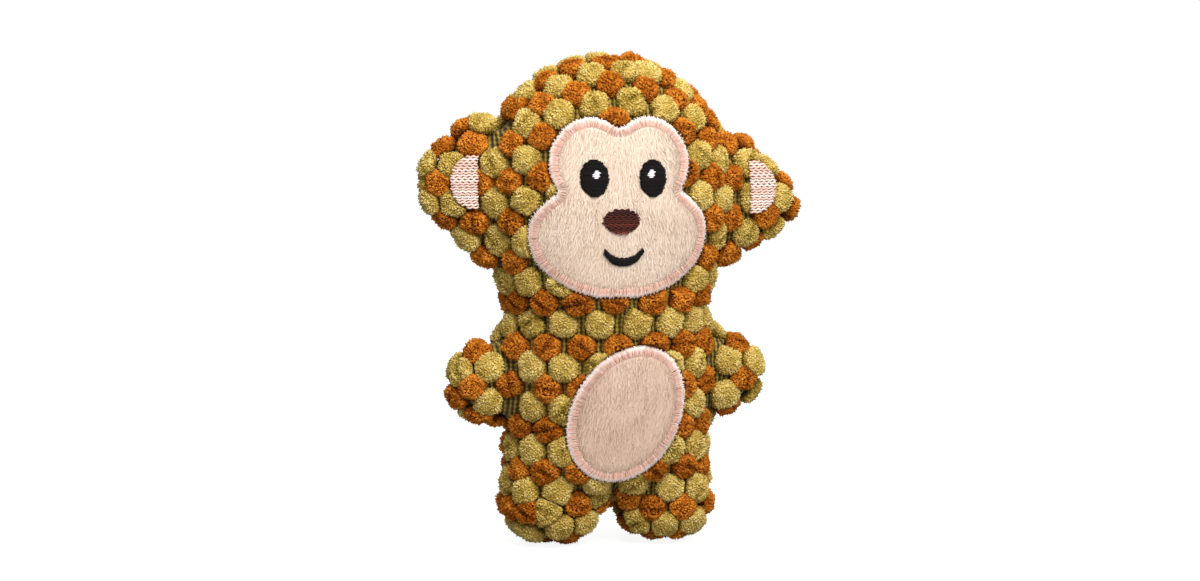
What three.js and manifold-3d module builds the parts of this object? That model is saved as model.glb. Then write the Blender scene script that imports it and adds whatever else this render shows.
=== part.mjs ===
// A stuffed monkey, 160 mm tall, sewn from a front and a back panel of bobble-pile fabric.
//
// Millimetres, +Z up. The monkey stands on its two soles at z = 0 and faces -Y, so its own
// right side is at -X. The seam between the front and back panels lies in the plane y = 0.
// The head, ears, arms and legs each bend at a soft root, which is a body of revolution about
// the line that the limb bends on, so that it turns inside its neighbour without touching it.
import * as THREE from "three";
import { mergeVertices } from "three/addons/utils/BufferGeometryUtils.js";
import Module from "manifold-3d";

const wasm = await Module();
wasm.setup();

// Fabric, thread and running gaps
const pileFabric = 4.5; // bobble-pile fabric, through to the top of the bobbles
const knitBacking = 1.1; // what is left of it in the deepest places between bobbles
const bobblePitch = 12.3; // from bobble to bobble along a row
const bobbleRows = 6.76; // from row to row, each half a pitch beside the last
const bobbleTop = 4; // width of a bobble's top
const saddle = 0.55; // depth between two bobbles that touch, as a share of the deepest places
const headRowShift = -2; // where the rows' middle lies on the head, and on the torso
const torsoRowShift = -0.6;
const torsoFirstRow = 2.4; // the torso's top row, below the line on which the head nods
const crownRow = 2.2; // the head's top row, along the fabric from the crown
const rowArch = 9; // how much lower a row lies at the sides of the head than in front
const seamGap = 0.3; // between the front and back panels, where they are sewn together
const layerGap = 0.3; // between one soft layer and the next
const rootGap = 0.45; // round a limb's root, inside its neighbour
const creaseWidth = 1; // of the fold that is left open round a limb
const swingClearance = 1.5; // degrees beyond a limb's swing
const appliquePile = 2.1; // short plush of the face and belly patches
const pressedPile = 0.6; // the same plush where the border stitching flattens it
const stitchHeight = 0.8; // satin stitching, over what it is sewn on
const borderWidth = 3.3; // satin stitch round the two patches
const pressedEdge = 1; // how far it presses the pile down beside it

// Torso
const neckZ = 76; // line on which the head nods
const neckHalfWidth = 33;
const neckRadius = 22.6;
const torsoHalfWidth = 36.6;
const torsoHalfDepth = 25.5;
const crotchZ = 12.8;
const nodForward = 7; // degrees
const nodBack = 10;

// Head
const headTopZ = 159.5;
const headHalfWidth = 42.2;
const headHalfDepth = 28.5;

// Ears, which are sewn on at slightly different heights. Each folds on a line at the head's side.
const rightEarZ = 114.5;
const leftEarZ = 112;
const rightEarRise = 3.6; // how far the tip lies above the root
const leftEarRise = -2;
const rightEarReach = 21;
const leftEarReach = 23;
const rightEarHalfHeight = 25;
const leftEarHalfHeight = 22.5;
const earRadius = 9.4;
const earFold = 25; // degrees, either way

// Arms
const armZ = 53;
const armReach = 18;
const armHalfHeight = 15;
const armRadius = 11.5;
const rightArmDroop = 3.5; // how far the tip lies below the root
const leftArmDroop = 0.5;
const armFold = 25;

// Legs
const hipZ = 17;
const legHalfWidth = 17.7;
const legsApart = 0.5;
const legRadius = 18.3;
const soleDepth = 0.5; // how much of the round foot is cut away flat
const legSwing = 12;
const legRowZ = 12.8; // upper one of its two rows of bobbles

// Face patch and the features stitched on it
const faceX = -0.6;
const faceHalfWidth = 29.2;
const faceTopZ = 139;
const chinZ = neckZ + 5.8;
const eyeX = 9.4;
const eyeZ = chinZ + 37.8;
const eyeWidth = 8.8;
const eyeHeight = 11.7;
const glintWidth = 2.4;
const glintHeight = 2.9;
const glintIn = 0.6; // from the middle of the eye, towards the nose and up
const glintUp = 1.3;
const noseX = -0.8;
const noseZ = chinZ + 24.4;
const noseWidth = 11.8;
const noseHeight = 8;
const mouthZ = chinZ + 14.5; // its two corners
const mouthWidth = 12.4;
const mouthDip = 4.6;
const mouthThickness = 1.9; // in the middle
const mouthTip = 0.6; // at the corners

// Belly patch
const bellyX = 2.2;
const bellyZ = 44.4;
const bellyLong = 46.4; // across its longer and shorter way
const bellyShort = 36;
const bellyTilt = 32; // degrees, its top leaning to +X

// Stitched patch inside each ear
const rightEarPatchX = 5.2; // from the ear's fold line
const leftEarPatchX = 7.8;
const rightEarPatchRise = 3.2;
const leftEarPatchRise = 2.5;
const earPatchHeight = 17;
const earPatchWidth = 8.7;

// Squeaker, a bellows that stands in the filling with its cap towards the belly
const squeakerZ = 60;
const squeakerRadius = 13.5;
const squeakerTravel = 5; // of its cap, towards the back
const squeakerShut = 7.6; // what is left between cap and base when it is pressed in
const squeakerWall = 0.9;
const squeakerFolds = 3;
const squeakerWave = 1.4; // how far its folds go in and out
const squeakerPlate = 2.2; // cap and base
const squeakerEdge = 1.2; // slope round the rims of cap and base
const reedStem = 2.5; // how far the reed plug reaches in
const reedBore = 1.2;
const reedRadius = 4;

// Number of facets, of the fabric's outside and (coarser) of its inside and the filling. A limb
// has twice as many facets around as its root has steps, so that their edges meet.
const facets = {
  fine: { trunk: { rings: 12, around: 22 }, limb: { rings: 6, around: 16 }, root: { steps: 8, around: 16 } },
  bobbled: { root: { steps: 8, around: 16 } },
  coarse: { trunk: { rings: 7, around: 12 }, limb: { rings: 4, around: 8 }, root: { steps: 4, around: 12 } },
};

const far = 120; // beyond every surface, for cutting

// Colours of the materials
const colours = {
  bobble: new THREE.MeshStandardMaterial({ color: 0xa9963f, roughness: 1 }),
  filling: new THREE.MeshStandardMaterial({ color: 0xf2f1ec, roughness: 1 }),
  plush: new THREE.MeshStandardMaterial({ color: 0xefd3bb, roughness: 0.95 }),
  pinkThread: new THREE.MeshStandardMaterial({ color: 0xeec3b0, roughness: 0.6 }),
  blackThread: new THREE.MeshStandardMaterial({ color: 0x171314, roughness: 0.6 }),
  brownThread: new THREE.MeshStandardMaterial({ color: 0x4a1f16, roughness: 0.6 }),
  whiteThread: new THREE.MeshStandardMaterial({ color: 0xf4f1f6, roughness: 0.6 }),
  plastic: new THREE.MeshStandardMaterial({ color: 0xf3f3ee, roughness: 0.45 }),
  reed: new THREE.MeshStandardMaterial({ color: 0x3c66a8, roughness: 0.4 }),
};

// A closed three.js geometry as a solid. Triangles that shrink to a line at a pole are left out,
// and a surface whose faces point inwards is turned round.
function solidOf(geometry) {
  const bare = geometry.clone();
  bare.deleteAttribute("normal");
  bare.deleteAttribute("uv");
  const merged = mergeVertices(bare, 1e-4);
  const triangles = [];
  for (let i = 0; i < merged.index.count; i += 3) {
    const [a, b, c] = [0, 1, 2].map((k) => merged.index.getX(i + k));
    if (a !== b && b !== c && c !== a) triangles.push(a, b, c);
  }
  const vertProperties = new Float32Array(merged.attributes.position.array);
  const made = (order) =>
    new wasm.Manifold(
      new wasm.Mesh({ numProp: 3, vertProperties, triVerts: new Uint32Array(order) }),
    );
  const solid = made(triangles);
  return solid.volume() > 0 ? solid : made(triangles.reverse());
}

// A solid as a named mesh.
function meshOf(name, solid, material) {
  const { numProp, vertProperties, triVerts } = solid.getMesh();
  const count = vertProperties.length / numProp;
  const positions = new Float32Array(count * 3);
  for (let i = 0; i < count; i++) {
    positions.set(vertProperties.subarray(i * numProp, i * numProp + 3), i * 3);
  }
  const geometry = new THREE.BufferGeometry();
  geometry.setAttribute("position", new THREE.BufferAttribute(positions, 3));
  geometry.setIndex(new THREE.BufferAttribute(new Uint32Array(triVerts), 1));
  geometry.computeVertexNormals();
  const mesh = new THREE.Mesh(geometry, material);
  mesh.name = name;
  return mesh;
}

// A box between two corners.
function boxSolid(low, high) {
  const size = high.map((h, i) => h - low[i]);
  const middle = high.map((h, i) => (h + low[i]) / 2);
  return solidOf(new THREE.BoxGeometry(...size).translate(...middle));
}

// The frame that a limb is built in: "out" is the way it points, "side" is square to that and to
// the line "axis" that it bends on.
function limbFrame(origin, out, axis) {
  const outward = new THREE.Vector3(...out);
  const along = new THREE.Vector3(...axis);
  const side = new THREE.Vector3().crossVectors(along, outward);
  return new THREE.Matrix4().makeBasis(outward, side, along).setPosition(...origin);
}

const power = (value, exponent) => Math.sign(value) * Math.abs(value) ** exponent;

// A curve through the stations of a stuffed form. Each station is [out, rise along the axis, half
// size along the axis, half size sideways], and the first and last have no size, so that the
// form closes there.
function sectionsOf(stations) {
  const first = stations[1];
  const last = stations[stations.length - 2];
  const mirrored = [first, last].map(([o, r, a, b]) => [o, r, -a, -b]);
  const all = [mirrored[0], ...stations, mirrored[1]];
  const sizes = new THREE.CatmullRomCurve3(all.map(([o, , a, b]) => new THREE.Vector3(o, a, b)));
  const rises = new THREE.CatmullRomCurve3(all.map(([, r]) => new THREE.Vector3(r, 0, 0)));
  sizes.curveType = rises.curveType = "catmullrom";
  const spans = all.length - 1;
  return (share) => {
    const t = (1 + share * (spans - 2)) / spans;
    const size = sizes.getPoint(t);
    return [size.x, rises.getPoint(t).x, size.y, size.z];
  };
}

// A place on the superellipse round one section.
function onRing([out, rise, along, sideways], squareness, angle) {
  const across = power(Math.cos(angle), 2 / squareness) * along;
  return new THREE.Vector3(out, power(Math.sin(angle), 2 / squareness) * sideways, rise + across);
}

// A closed form between two poles, from rings of { angle, place } that all start at angle 0.
function zipped(frame, poles, rings) {
  const positions = [];
  const indices = [];
  const put = (place) => {
    positions.push(...place.clone().applyMatrix4(frame).toArray());
    return positions.length / 3 - 1;
  };
  const [start, end] = poles.map(put);
  const placed = rings.map((ring) => ring.map(({ angle, place }) => [angle, put(place)]));
  const at = (ring, i) => ring[i % ring.length][1];
  const turn = (ring, i) => ring[i % ring.length][0] + (i < ring.length ? 0 : 2 * Math.PI);
  placed[0].forEach((_, i) => indices.push(start, at(placed[0], i), at(placed[0], i + 1)));
  for (let k = 1; k < placed.length; k++) {
    const [low, high] = [placed[k - 1], placed[k]];
    let [i, j] = [0, 0];
    while (i < low.length || j < high.length) {
      if (j === high.length || (i < low.length && turn(low, i + 1) < turn(high, j + 1))) {
        indices.push(at(low, i), at(high, j), at(low, i + 1));
        i++;
      } else {
        indices.push(at(low, i), at(high, j), at(high, j + 1));
        j++;
      }
    }
  }
  const last = placed[placed.length - 1];
  last.forEach((_, i) => indices.push(end, at(last, i + 1), at(last, i)));
  const geometry = new THREE.BufferGeometry();
  geometry.setAttribute("position", new THREE.Float32BufferAttribute(positions, 3));
  geometry.setIndex(indices);
  return solidOf(geometry);
}

// A stuffed form: superellipse rings strung along the frame's out direction.
function stuffed(frame, stations, squareness, { rings, around }) {
  const section = sectionsOf(stations);
  const pole = (share) => onRing(section(share), squareness, 0);
  const ringAt = (share) =>
    Array.from({ length: around }, (_, j) => {
      const angle = (j / around) * 2 * Math.PI;
      return { angle, place: onRing(section(share), squareness, angle) };
    });
  const between = Array.from({ length: rings - 1 }, (_, i) => ringAt((i + 1) / rings));
  return zipped(frame, [pole(0), pole(1)], between);
}

// The same form with its pile standing up in bobbles. "rows" gives [out, offset] of each row:
// its bobbles stand at whole pitches, plus the offset, from the middle of the front and of the
// back panel. "arch" tells how much lower a row lies somewhere, and "pressed" where the pile is
// flat. The pile lies lowest between four bobbles and along the seam.
function bobbled(frame, stations, squareness, { rows, pitch, shift, arch, pressed, plain }) {
  const section = sectionsOf(stations);
  const samples = Array.from({ length: 401 }, (_, i) => section(i / 400));
  const surface = (level, angle) => {
    const out = level - arch(level, angle);
    const found = samples.findIndex((sample) => sample[0] >= out);
    const i = found < 0 ? samples.length - 1 : Math.max(found, 1);
    const [low, high] = [samples[i - 1], samples[i]];
    const share = (out - low[0]) / (high[0] - low[0]);
    const here = low.map((value, k) => value + share * (high[k] - value));
    return { size: Math.min(here[2], here[3]), place: onRing(here, squareness, angle) };
  };
  const deepest = pileFabric - knitBacking;
  const point = (level, angle, depth) => {
    const { size, place } = surface(level, angle);
    const along = surface(level + 0.3, angle).place.sub(surface(level - 0.3, angle).place);
    const round = surface(level, angle + 0.03).place.sub(surface(level, angle - 0.03).place);
    const inward = round.cross(along).normalize();
    const flat = pressed(place.clone().applyMatrix4(frame));
    const sink = flat ? 0 : Math.min(depth * deepest, 0.45 * size);
    return { angle, place: place.addScaledVector(inward, sink) };
  };
  // Angles at which a row passes the given distances from the middle of a panel.
  const steps = 90;
  const ringOf = (level, marks, seamDepth) => {
    const ring = [];
    for (const [panel, way] of [[0, 1], [1, -1]]) {
      const angles = Array.from({ length: steps + 1 }, (_, i) => (panel + i / steps) * Math.PI);
      const places = angles.map((angle) => surface(level, angle).place);
      const runs = [0];
      places.slice(1).forEach((place, i) => runs.push(runs[i] + place.distanceTo(places[i])));
      const middle = runs[steps / 2];
      ring.push(point(level, angles[0], seamDepth));
      const whole = Math.ceil(runs[steps] / pitch) + 1;
      for (let k = -whole; k <= whole; k++) {
        for (const [mark, depth] of marks) {
          const run = middle + (k + mark) * pitch - way * shift;
          if (run < 2.5 || run > runs[steps] - 2.5) continue;
          const i = runs.findIndex((value) => value > run);
          const share = (run - runs[i - 1]) / (runs[i] - runs[i - 1]);
          ring.push(point(level, angles[i - 1] + (share * Math.PI) / steps, depth));
        }
      }
    }
    return ring;
  };
  const half = bobbleTop / 2 / pitch;
  const rings = rows.flatMap(([level, offset], k) => {
    const marks = [[offset - half, 0], [offset + half, 0], [offset + 0.5, 1]];
    const ring = ringOf(level, marks, saddle);
    if (k + 1 === rows.length) return [ring];
    const between = (level + rows[k + 1][0]) / 2;
    return [ring, ringOf(between, [[0.25, saddle], [0.75, saddle]], 1)];
  });
  const plainRing = ([level, depth]) =>
    Array.from({ length: 12 }, (_, j) => point(level, (j / 6) * Math.PI, depth));
  const [before, after] = plain.map((levels) => levels.map(plainRing));
  const pole = (share) => onRing(section(share), squareness, 0);
  return zipped(frame, [pole(0), pole(1)], [...before, ...rings, ...after]);
}

// The root of a limb: a superellipse turned about the frame's axis.
function root(frame, radius, halfLength, squareness, { steps, around } = facets.fine.root) {
  const profile = [];
  for (let i = 0; i <= steps; i++) {
    const angle = ((i / steps) * 2 - 1) * (Math.PI / 2);
    const across = i === 0 || i === steps ? 0 : radius * Math.cos(angle) ** (2 / squareness);
    profile.push(new THREE.Vector2(across, halfLength * power(Math.sin(angle), 2 / squareness)));
  }
  const lathe = new THREE.LatheGeometry(profile, around).rotateX(Math.PI / 2);
  lathe.applyMatrix4(frame);
  return solidOf(lathe);
}

// The space that a limb swings through beside its root: all that lies less than 90 degrees plus
// the swing from the way the limb points.
function swingSpace(frame, swingA, swingB) {
  const edge = (swing) => {
    const angle = THREE.MathUtils.degToRad(90 + swing);
    return [Math.cos(angle) * far * 1.5, Math.sin(angle) * far * 1.5];
  };
  const [ax, ay] = edge(swingA);
  const [bx, by] = edge(swingB);
  const shape = new THREE.Shape([
    new THREE.Vector2(0, 0),
    new THREE.Vector2(bx, -by),
    new THREE.Vector2(far, -far * 1.5),
    new THREE.Vector2(far, far * 1.5),
    new THREE.Vector2(ax, ay),
  ]);
  const wedge = new THREE.ExtrudeGeometry(shape, { depth: 2 * far, bevelEnabled: false });
  wedge.translate(0, 0, -far).applyMatrix4(frame);
  return solidOf(wedge);
}

// All that lies on the frame's outward side of its axis.
function outerSide(frame) {
  const block = new THREE.BoxGeometry(far, 2 * far, 2 * far).translate(far / 2, 0, 0);
  return solidOf(block.applyMatrix4(frame));
}

// All that lies a little beyond the frame's axis, on its outward side.
function wellOut(frame) {
  const block = new THREE.BoxGeometry(far, 2 * far, 2 * far).translate(far / 2 + 0.6, 0, 0);
  return solidOf(block.applyMatrix4(frame));
}

// A limb: its root and the stuffed form that grows from it. "inset" takes it in evenly, for the
// inside of its fabric or for its filling.
function limb(shape, inset, detail) {
  const { frame, radius, halfLength, squareness, reach, stations, pile } = shape;
  const shrink = (value, whole) => (value * (whole - inset)) / whole;
  const smaller = stations.map(([out, rise, along, side]) => [
    shrink(out, reach),
    shrink(rise, halfLength),
    shrink(along, halfLength),
    shrink(side, radius),
  ]);
  const facing = outerSide(frame);
  const around = detail === "coarse" ? facets.coarse.root.around : shape.around;
  const rootFacets = { steps: facets[detail].root.steps, around };
  const turned = root(frame, radius - inset, halfLength - inset, squareness, rootFacets);
  if (detail === "bobbled") {
    const form = bobbled(frame, stations, squareness, pile).intersect(facing);
    return turned.subtract(wellOut(frame)).add(form);
  }
  return turned.add(stuffed(frame, smaller, squareness, facets[detail].limb).intersect(facing));
}

// Rows of bobbles across a limb, counted back from its tip.
function limbRows(reach, first, spacing, least) {
  const count = Math.floor((reach - first - least) / spacing) + 1;
  const rows = Array.from({ length: count }, (_, k) => [reach - first - k * spacing, k % 2 ? 0 : 0.5]);
  return rows.reverse();
}

// The socket that a limb's root turns in, with the crease round it that its swing needs.
function socket({ frame, radius, halfLength, squareness, swing, around }, gap) {
  const detail = { steps: facets.fine.root.steps, around };
  const hollow = root(frame, radius + gap, halfLength + gap, squareness, detail);
  const wider = root(frame, radius + gap + creaseWidth, halfLength + gap, squareness, detail);
  const clear = swing + swingClearance;
  return hollow.add(wider.intersect(swingSpace(frame, clear, clear)));
}

const inFront = boxSolid([-far, -far, -far], [far, -seamGap / 2, 2 * far]);
const behind = boxSolid([-far, seamGap / 2, -far], [far, far, 2 * far]);
const aboveFloor = boxSolid([-far, -far, 0], [far, far, 2 * far]);

// The limbs
const side = { right: -1, left: 1 };

const level = () => 0; // rows that don't arch
const standingPile = () => false; // nothing is sewn over it

// The pile of an ear or arm: its rows run round it, half a pitch apart.
const limbPile = (reach, pressed) => ({
  rows: limbRows(reach, 5.6, bobblePitch / 2, 2.5),
  pitch: 2 * bobbleRows,
  shift: 0,
  arch: level,
  pressed,
  plain: [[[-0.2 * reach, 0]], [[reach - 2.6, saddle]]],
});

function earOf(name) {
  const [z, rise, reach, halfHeight] =
    name === "right"
      ? [rightEarZ, rightEarRise, rightEarReach, rightEarHalfHeight]
      : [leftEarZ, leftEarRise, leftEarReach, leftEarHalfHeight];
  return {
    pile: limbPile(reach, under(earPatchOutline(name))),
    frame: limbFrame([side[name] * headHalfWidth, 0, z], [side[name], 0, 0], [0, 0, 1]),
    radius: earRadius,
    around: 12,
    halfLength: halfHeight,
    squareness: 2.1,
    reach,
    swing: earFold,
    stations: [
      [-0.4 * reach, 0, 0, 0],
      [-0.2 * reach, 0, 0.9 * halfHeight, 0.9 * earRadius],
      [0, 0, halfHeight, earRadius],
      [0.25 * reach, 0.35 * rise, 0.81 * halfHeight, 0.98 * earRadius],
      [0.5 * reach, 0.75 * rise, 0.63 * halfHeight, 0.92 * earRadius],
      [0.78 * reach, rise, 0.43 * halfHeight, 0.74 * earRadius],
      [0.94 * reach, rise, 0.25 * halfHeight, 0.44 * earRadius],
      [reach, rise, 0, 0],
    ],
  };
}

function armOf(name) {
  const armDroop = name === "right" ? rightArmDroop : leftArmDroop;
  return {
    pile: limbPile(armReach, standingPile),
    frame: limbFrame([side[name] * torsoHalfWidth, 0, armZ], [side[name], 0, 0], [0, 0, 1]),
    radius: armRadius,
    around: 14,
    halfLength: armHalfHeight,
    squareness: 2.3,
    reach: armReach,
    swing: armFold,
    stations: [
      [-0.4 * armReach, 0, 0, 0],
      [-0.2 * armReach, 0, 0.9 * armHalfHeight, 0.9 * armRadius],
      [0, 0, armHalfHeight, armRadius],
      [0.4 * armReach, -0.3 * armDroop, 0.96 * armHalfHeight, armRadius],
      [0.75 * armReach, -0.8 * armDroop, 0.79 * armHalfHeight, 0.84 * armRadius],
      [0.94 * armReach, -armDroop, 0.42 * armHalfHeight, 0.5 * armRadius],
      [armReach, -armDroop, 0, 0],
    ],
  };
}

// A leg reaches a little below the floor, where its sole is cut flat.
function legOf(name) {
  const reach = hipZ + soleDepth;
  const x = side[name] * (legHalfWidth + legsApart / 2);
  return {
    pile: {
      rows: [[hipZ - legRowZ, 0.5], [hipZ - legRowZ + bobbleRows, 0]],
      pitch: bobblePitch,
      shift: 0,
      arch: level,
      pressed: standingPile,
      plain: [[[-0.2 * reach, 0]], [[0.82 * reach, 0.3], [0.97 * reach, 0]]],
    },
    frame: limbFrame([x, 0, hipZ], [0, 0, -1], [1, 0, 0]),
    radius: legRadius,
    around: 16,
    halfLength: legHalfWidth,
    squareness: 3,
    reach,
    swing: legSwing,
    stations: [
      [-0.4 * reach, 0, 0, 0],
      [-0.2 * reach, 0, 0.9 * legHalfWidth, 0.9 * legRadius],
      [0, 0, legHalfWidth, legRadius],
      [0.45 * reach, 0, 0.985 * legHalfWidth, 0.99 * legRadius],
      [0.8 * reach, 0, 0.9 * legHalfWidth, 0.92 * legRadius],
      [0.97 * reach, 0, 0.72 * legHalfWidth, 0.76 * legRadius],
      [reach, 0, 0, 0],
    ],
  };
}

const neck = {
  frame: limbFrame([0, 0, neckZ], [0, 0, 1], [1, 0, 0]),
  radius: neckRadius,
  halfLength: neckHalfWidth,
  squareness: 2.5,
};

// Torso: a stuffed tube below the neck line, and above it the round root that the head sits on.
const standing = limbFrame([0, 0, 0], [0, 0, 1], [1, 0, 0]);

function torsoForm(inset, detail = "fine") {
  const [w, d] = [torsoHalfWidth - inset, torsoHalfDepth - inset];
  const bottom = crotchZ + inset;
  const height = neckZ - bottom;
  const stations = [
    [bottom, 0, 0, 0],
    [bottom + 0.03 * height, 0, 0.76 * w, 0.62 * d],
    [bottom + 0.09 * height, 0, 0.945 * w, 0.8 * d],
    [bottom + 0.17 * height, 0, 0.985 * w, 0.89 * d],
    [bottom + 0.36 * height, 0, 0.945 * w, 0.96 * d],
    [bottom + 0.55 * height, 0, 0.985 * w, d],
    [bottom + 0.75 * height, 0, w, 0.99 * d],
    [bottom + 0.9 * height, 0, 0.975 * w, 0.93 * d],
    [bottom + 1.03 * height, 0, 0.935 * w, 0.85 * d],
    [bottom + 1.15 * height, 0, 0.6 * w, 0.6 * d],
    [bottom + 1.2 * height, 0, 0, 0],
  ];
  const below = boxSolid([-far, -far, -far], [far, far, neckZ]);
  const [radius, half] = [neckRadius - inset, neckHalfWidth - inset];
  const dome = root(neck.frame, radius, half, neck.squareness, facets[detail].root);
  if (detail !== "bobbled") {
    return stuffed(standing, stations, 2.2, facets[detail].trunk).intersect(below).add(dome);
  }
  const rows = [];
  for (let z = neckZ - torsoFirstRow; z > bottom + 4; z -= bobbleRows) {
    rows.unshift([z, rows.length % 2 ? 0 : 0.5]);
  }
  const pile = {
    rows,
    pitch: bobblePitch,
    shift: torsoRowShift,
    arch: level,
    pressed: under(bellyOutline()),
    plain: [[[bottom + 0.03 * height, 0]], [[bottom + 1.15 * height, 0]]],
  };
  return bobbled(standing, stations, 2.2, pile).intersect(below).add(dome);
}

// Head: a tall dome, hollow underneath where it sits on the neck.
const headMiddleZ = neckZ + 0.45 * (headTopZ - neckZ);

function headForm(inset, detail = "fine") {
  const [w, d] = [headHalfWidth - inset, headHalfDepth - inset];
  const above = headTopZ - inset - headMiddleZ;
  const below = headMiddleZ - neckZ;
  const stations = [
    [headMiddleZ - 1.25 * below, 0, 0, 0],
    [headMiddleZ - 1.17 * below, 0, 0.66 * w, 0.7 * d],
    [headMiddleZ - below, 0, 0.81 * w, 0.86 * d],
    [headMiddleZ - 0.72 * below, 0, 0.885 * w, 0.93 * d],
    [headMiddleZ - 0.38 * below, 0, 0.975 * w, 0.985 * d],
    [headMiddleZ, 0, w, d],
    [headMiddleZ + 0.33 * above, 0, 0.955 * w, 0.95 * d],
    [headMiddleZ + 0.63 * above, 0, 0.765 * w, 0.81 * d],
    [headMiddleZ + 0.85 * above, 0, 0.505 * w, 0.56 * d],
    [headMiddleZ + 0.965 * above, 0, 0.26 * w, 0.3 * d],
    [headMiddleZ + above, 0, 0, 0],
  ];
  if (detail !== "bobbled") return stuffed(standing, stations, 2.15, facets[detail].trunk);
  const section = sectionsOf(stations);
  const rows = [];
  let run = 0;
  let next = crownRow + bobbleRows;
  for (let i = 399; i > 0; i--) {
    const [here, last] = [section(i / 400), section((i + 1) / 400)];
    run += Math.hypot(here[0] - last[0], here[3] - last[3]);
    if (run < next || here[0] < neckZ + 3) continue;
    rows.unshift([here[0], rows.length % 2 ? 0 : 0.5]);
    next += bobbleRows;
  }
  const pile = {
    rows,
    pitch: bobblePitch,
    shift: headRowShift,
    arch: (z, angle) => {
      const high = THREE.MathUtils.clamp((z - neckZ) / (headMiddleZ - neckZ), 0, 1);
      const wide = Math.min(1, (headTopZ - z) / (0.3 * above));
      return rowArch * high * wide * Math.cos(angle) ** 2;
    },
    pressed: under(faceOutline()),
    plain: [[[headMiddleZ - 1.17 * below, 0]], [[headTopZ - 0.4, saddle]]],
  };
  return bobbled(standing, stations, 2.15, pile);
}

// The head is cut away below, so that it can nod on the neck's round root.
function neckHollow(gap) {
  const under = limbFrame([0, 0, neckZ + gap], [0, 0, -1], [1, 0, 0]);
  const ball = root(neck.frame, neckRadius + gap, neckHalfWidth + gap, neck.squareness);
  const [forward, back] = [nodForward + swingClearance, nodBack + swingClearance];
  return ball.add(swingSpace(under, forward, back));
}

// Outlines, drawn in the front view: x to the right, z up.
const front = (x, z) => new THREE.Vector2(x, z);

// The face patch: two lobes over the brow and two wider ones for the cheeks.
function faceOutline() {
  const tall = faceTopZ - chinZ;
  const half = [
    [0.04, 0.945],
    [0.14, 0.975],
    [0.32, 1],
    [0.54, 0.965],
    [0.715, 0.87],
    [0.78, 0.755],
    [0.75, 0.655],
    [0.69, 0.59],
    [0.79, 0.545],
    [0.94, 0.46],
    [1, 0.37],
    [0.965, 0.25],
    [0.84, 0.15],
    [0.58, 0.055],
    [0.28, 0.005],
  ].map(([x, z]) => [x * faceHalfWidth, chinZ + z * tall]);
  const bottom = [[0, chinZ]];
  const mirrored = half.map(([x, z]) => [-x, z]).reverse();
  const around = [...half, ...bottom, ...mirrored].map(([x, z]) => new THREE.Vector3(x, z, 0));
  const curve = new THREE.CatmullRomCurve3(around, true, "centripetal");
  return curve.getSpacedPoints(40).slice(0, -1).map((p) => front(faceX + p.x, p.y));
}

function ellipseOutline(x, z, width, height, steps, turn = 0) {
  const angle = THREE.MathUtils.degToRad(turn);
  const curve = new THREE.EllipseCurve(x, z, width / 2, height / 2, 0, 2 * Math.PI, true, angle);
  return curve.getPoints(steps).slice(0, -1);
}

const bellyOutline = () => ellipseOutline(bellyX, bellyZ, bellyShort, bellyLong, 22, -bellyTilt);

// The nose: an oval that comes to a soft point below.
function noseOutline() {
  return ellipseOutline(0, noseZ, noseWidth, noseHeight, 20).map(({ x, y }) => {
    const low = Math.max(0, (noseZ - y) / (noseHeight / 2));
    return front(noseX + x * (1 - 0.22 * low * low), y);
  });
}

// The mouth: a smile between two arcs, thinnest at its corners.
function mouthOutline() {
  const steps = 12;
  const arc = (cornerZ, lowestZ) =>
    Array.from({ length: steps + 1 }, (_, i) => {
      const across = (i / steps) * 2 - 1;
      const z = lowestZ + (cornerZ - lowestZ) * across * across;
      return front((across * mouthWidth) / 2, z);
    });
  const lower = arc(mouthZ, mouthZ - mouthDip);
  const upper = arc(mouthZ + mouthTip, mouthZ - mouthDip + mouthThickness).reverse();
  return [...lower, ...upper];
}

// The patch inside an ear: straight towards the head and round towards the ear's edge.
function earPatchOutline(name) {
  const [earZ, rise, out] =
    name === "right"
      ? [rightEarZ, rightEarPatchRise, rightEarPatchX]
      : [leftEarZ, leftEarPatchRise, leftEarPatchX];
  const z = earZ + rise;
  const x = side[name] * (headHalfWidth + out - earPatchWidth / 2);
  const steps = 12;
  return Array.from({ length: steps + 1 }, (_, i) => {
    const angle = (i / steps - 0.5) * Math.PI;
    const across = side[name] * earPatchWidth * Math.cos(angle) ** 0.8;
    return front(x + across, z + (earPatchHeight / 2) * Math.sin(angle));
  });
}

// An outline moved in by a distance, or out if it is negative.
function movedIn(outline, distance) {
  const turn = THREE.ShapeUtils.isClockWise(outline) ? -1 : 1;
  return outline.map((p, i) => {
    const before = outline[(i + outline.length - 1) % outline.length];
    const after = outline[(i + 1) % outline.length];
    const along = after.clone().sub(before).normalize();
    return front(p.x - turn * along.y * distance, p.y + turn * along.x * distance);
  });
}

// Whether a place lies under what is sewn on inside an outline, where the pile is pressed flat.
function under(outline) {
  const wider = movedIn(outline, -pressedEdge);
  return ({ x, y, z }) => {
    const crossed = wider.filter((p, i) => {
      const q = wider[(i + 1) % wider.length];
      return p.y > z !== q.y > z && x < p.x + ((z - p.y) / (q.y - p.y)) * (q.x - p.x);
    });
    return y < 0 && crossed.length % 2 === 1;
  };
}

// An outline of the front view carried straight through the front half of the toy.
function through(outline) {
  const prism = new THREE.ExtrudeGeometry(new THREE.Shape(outline), { depth: far, bevelEnabled: false });
  return solidOf(prism.rotateX(Math.PI / 2));
}

// A layer of a form, between two depths under its surface.
const layer = (form, top, bottom) => form(top).subtract(form(bottom));

// What is sewn on the face and the belly lies in a bed pressed into the pile.
const bedDepth = 0.2 + appliquePile + layerGap;
const patchBottom = bedDepth - layerGap;
const pressedTop = patchBottom - pressedPile;
const stitchBottom = pressedTop - layerGap;
const featureTop = 0.1;
const featureBottom = featureTop + stitchHeight;

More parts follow.
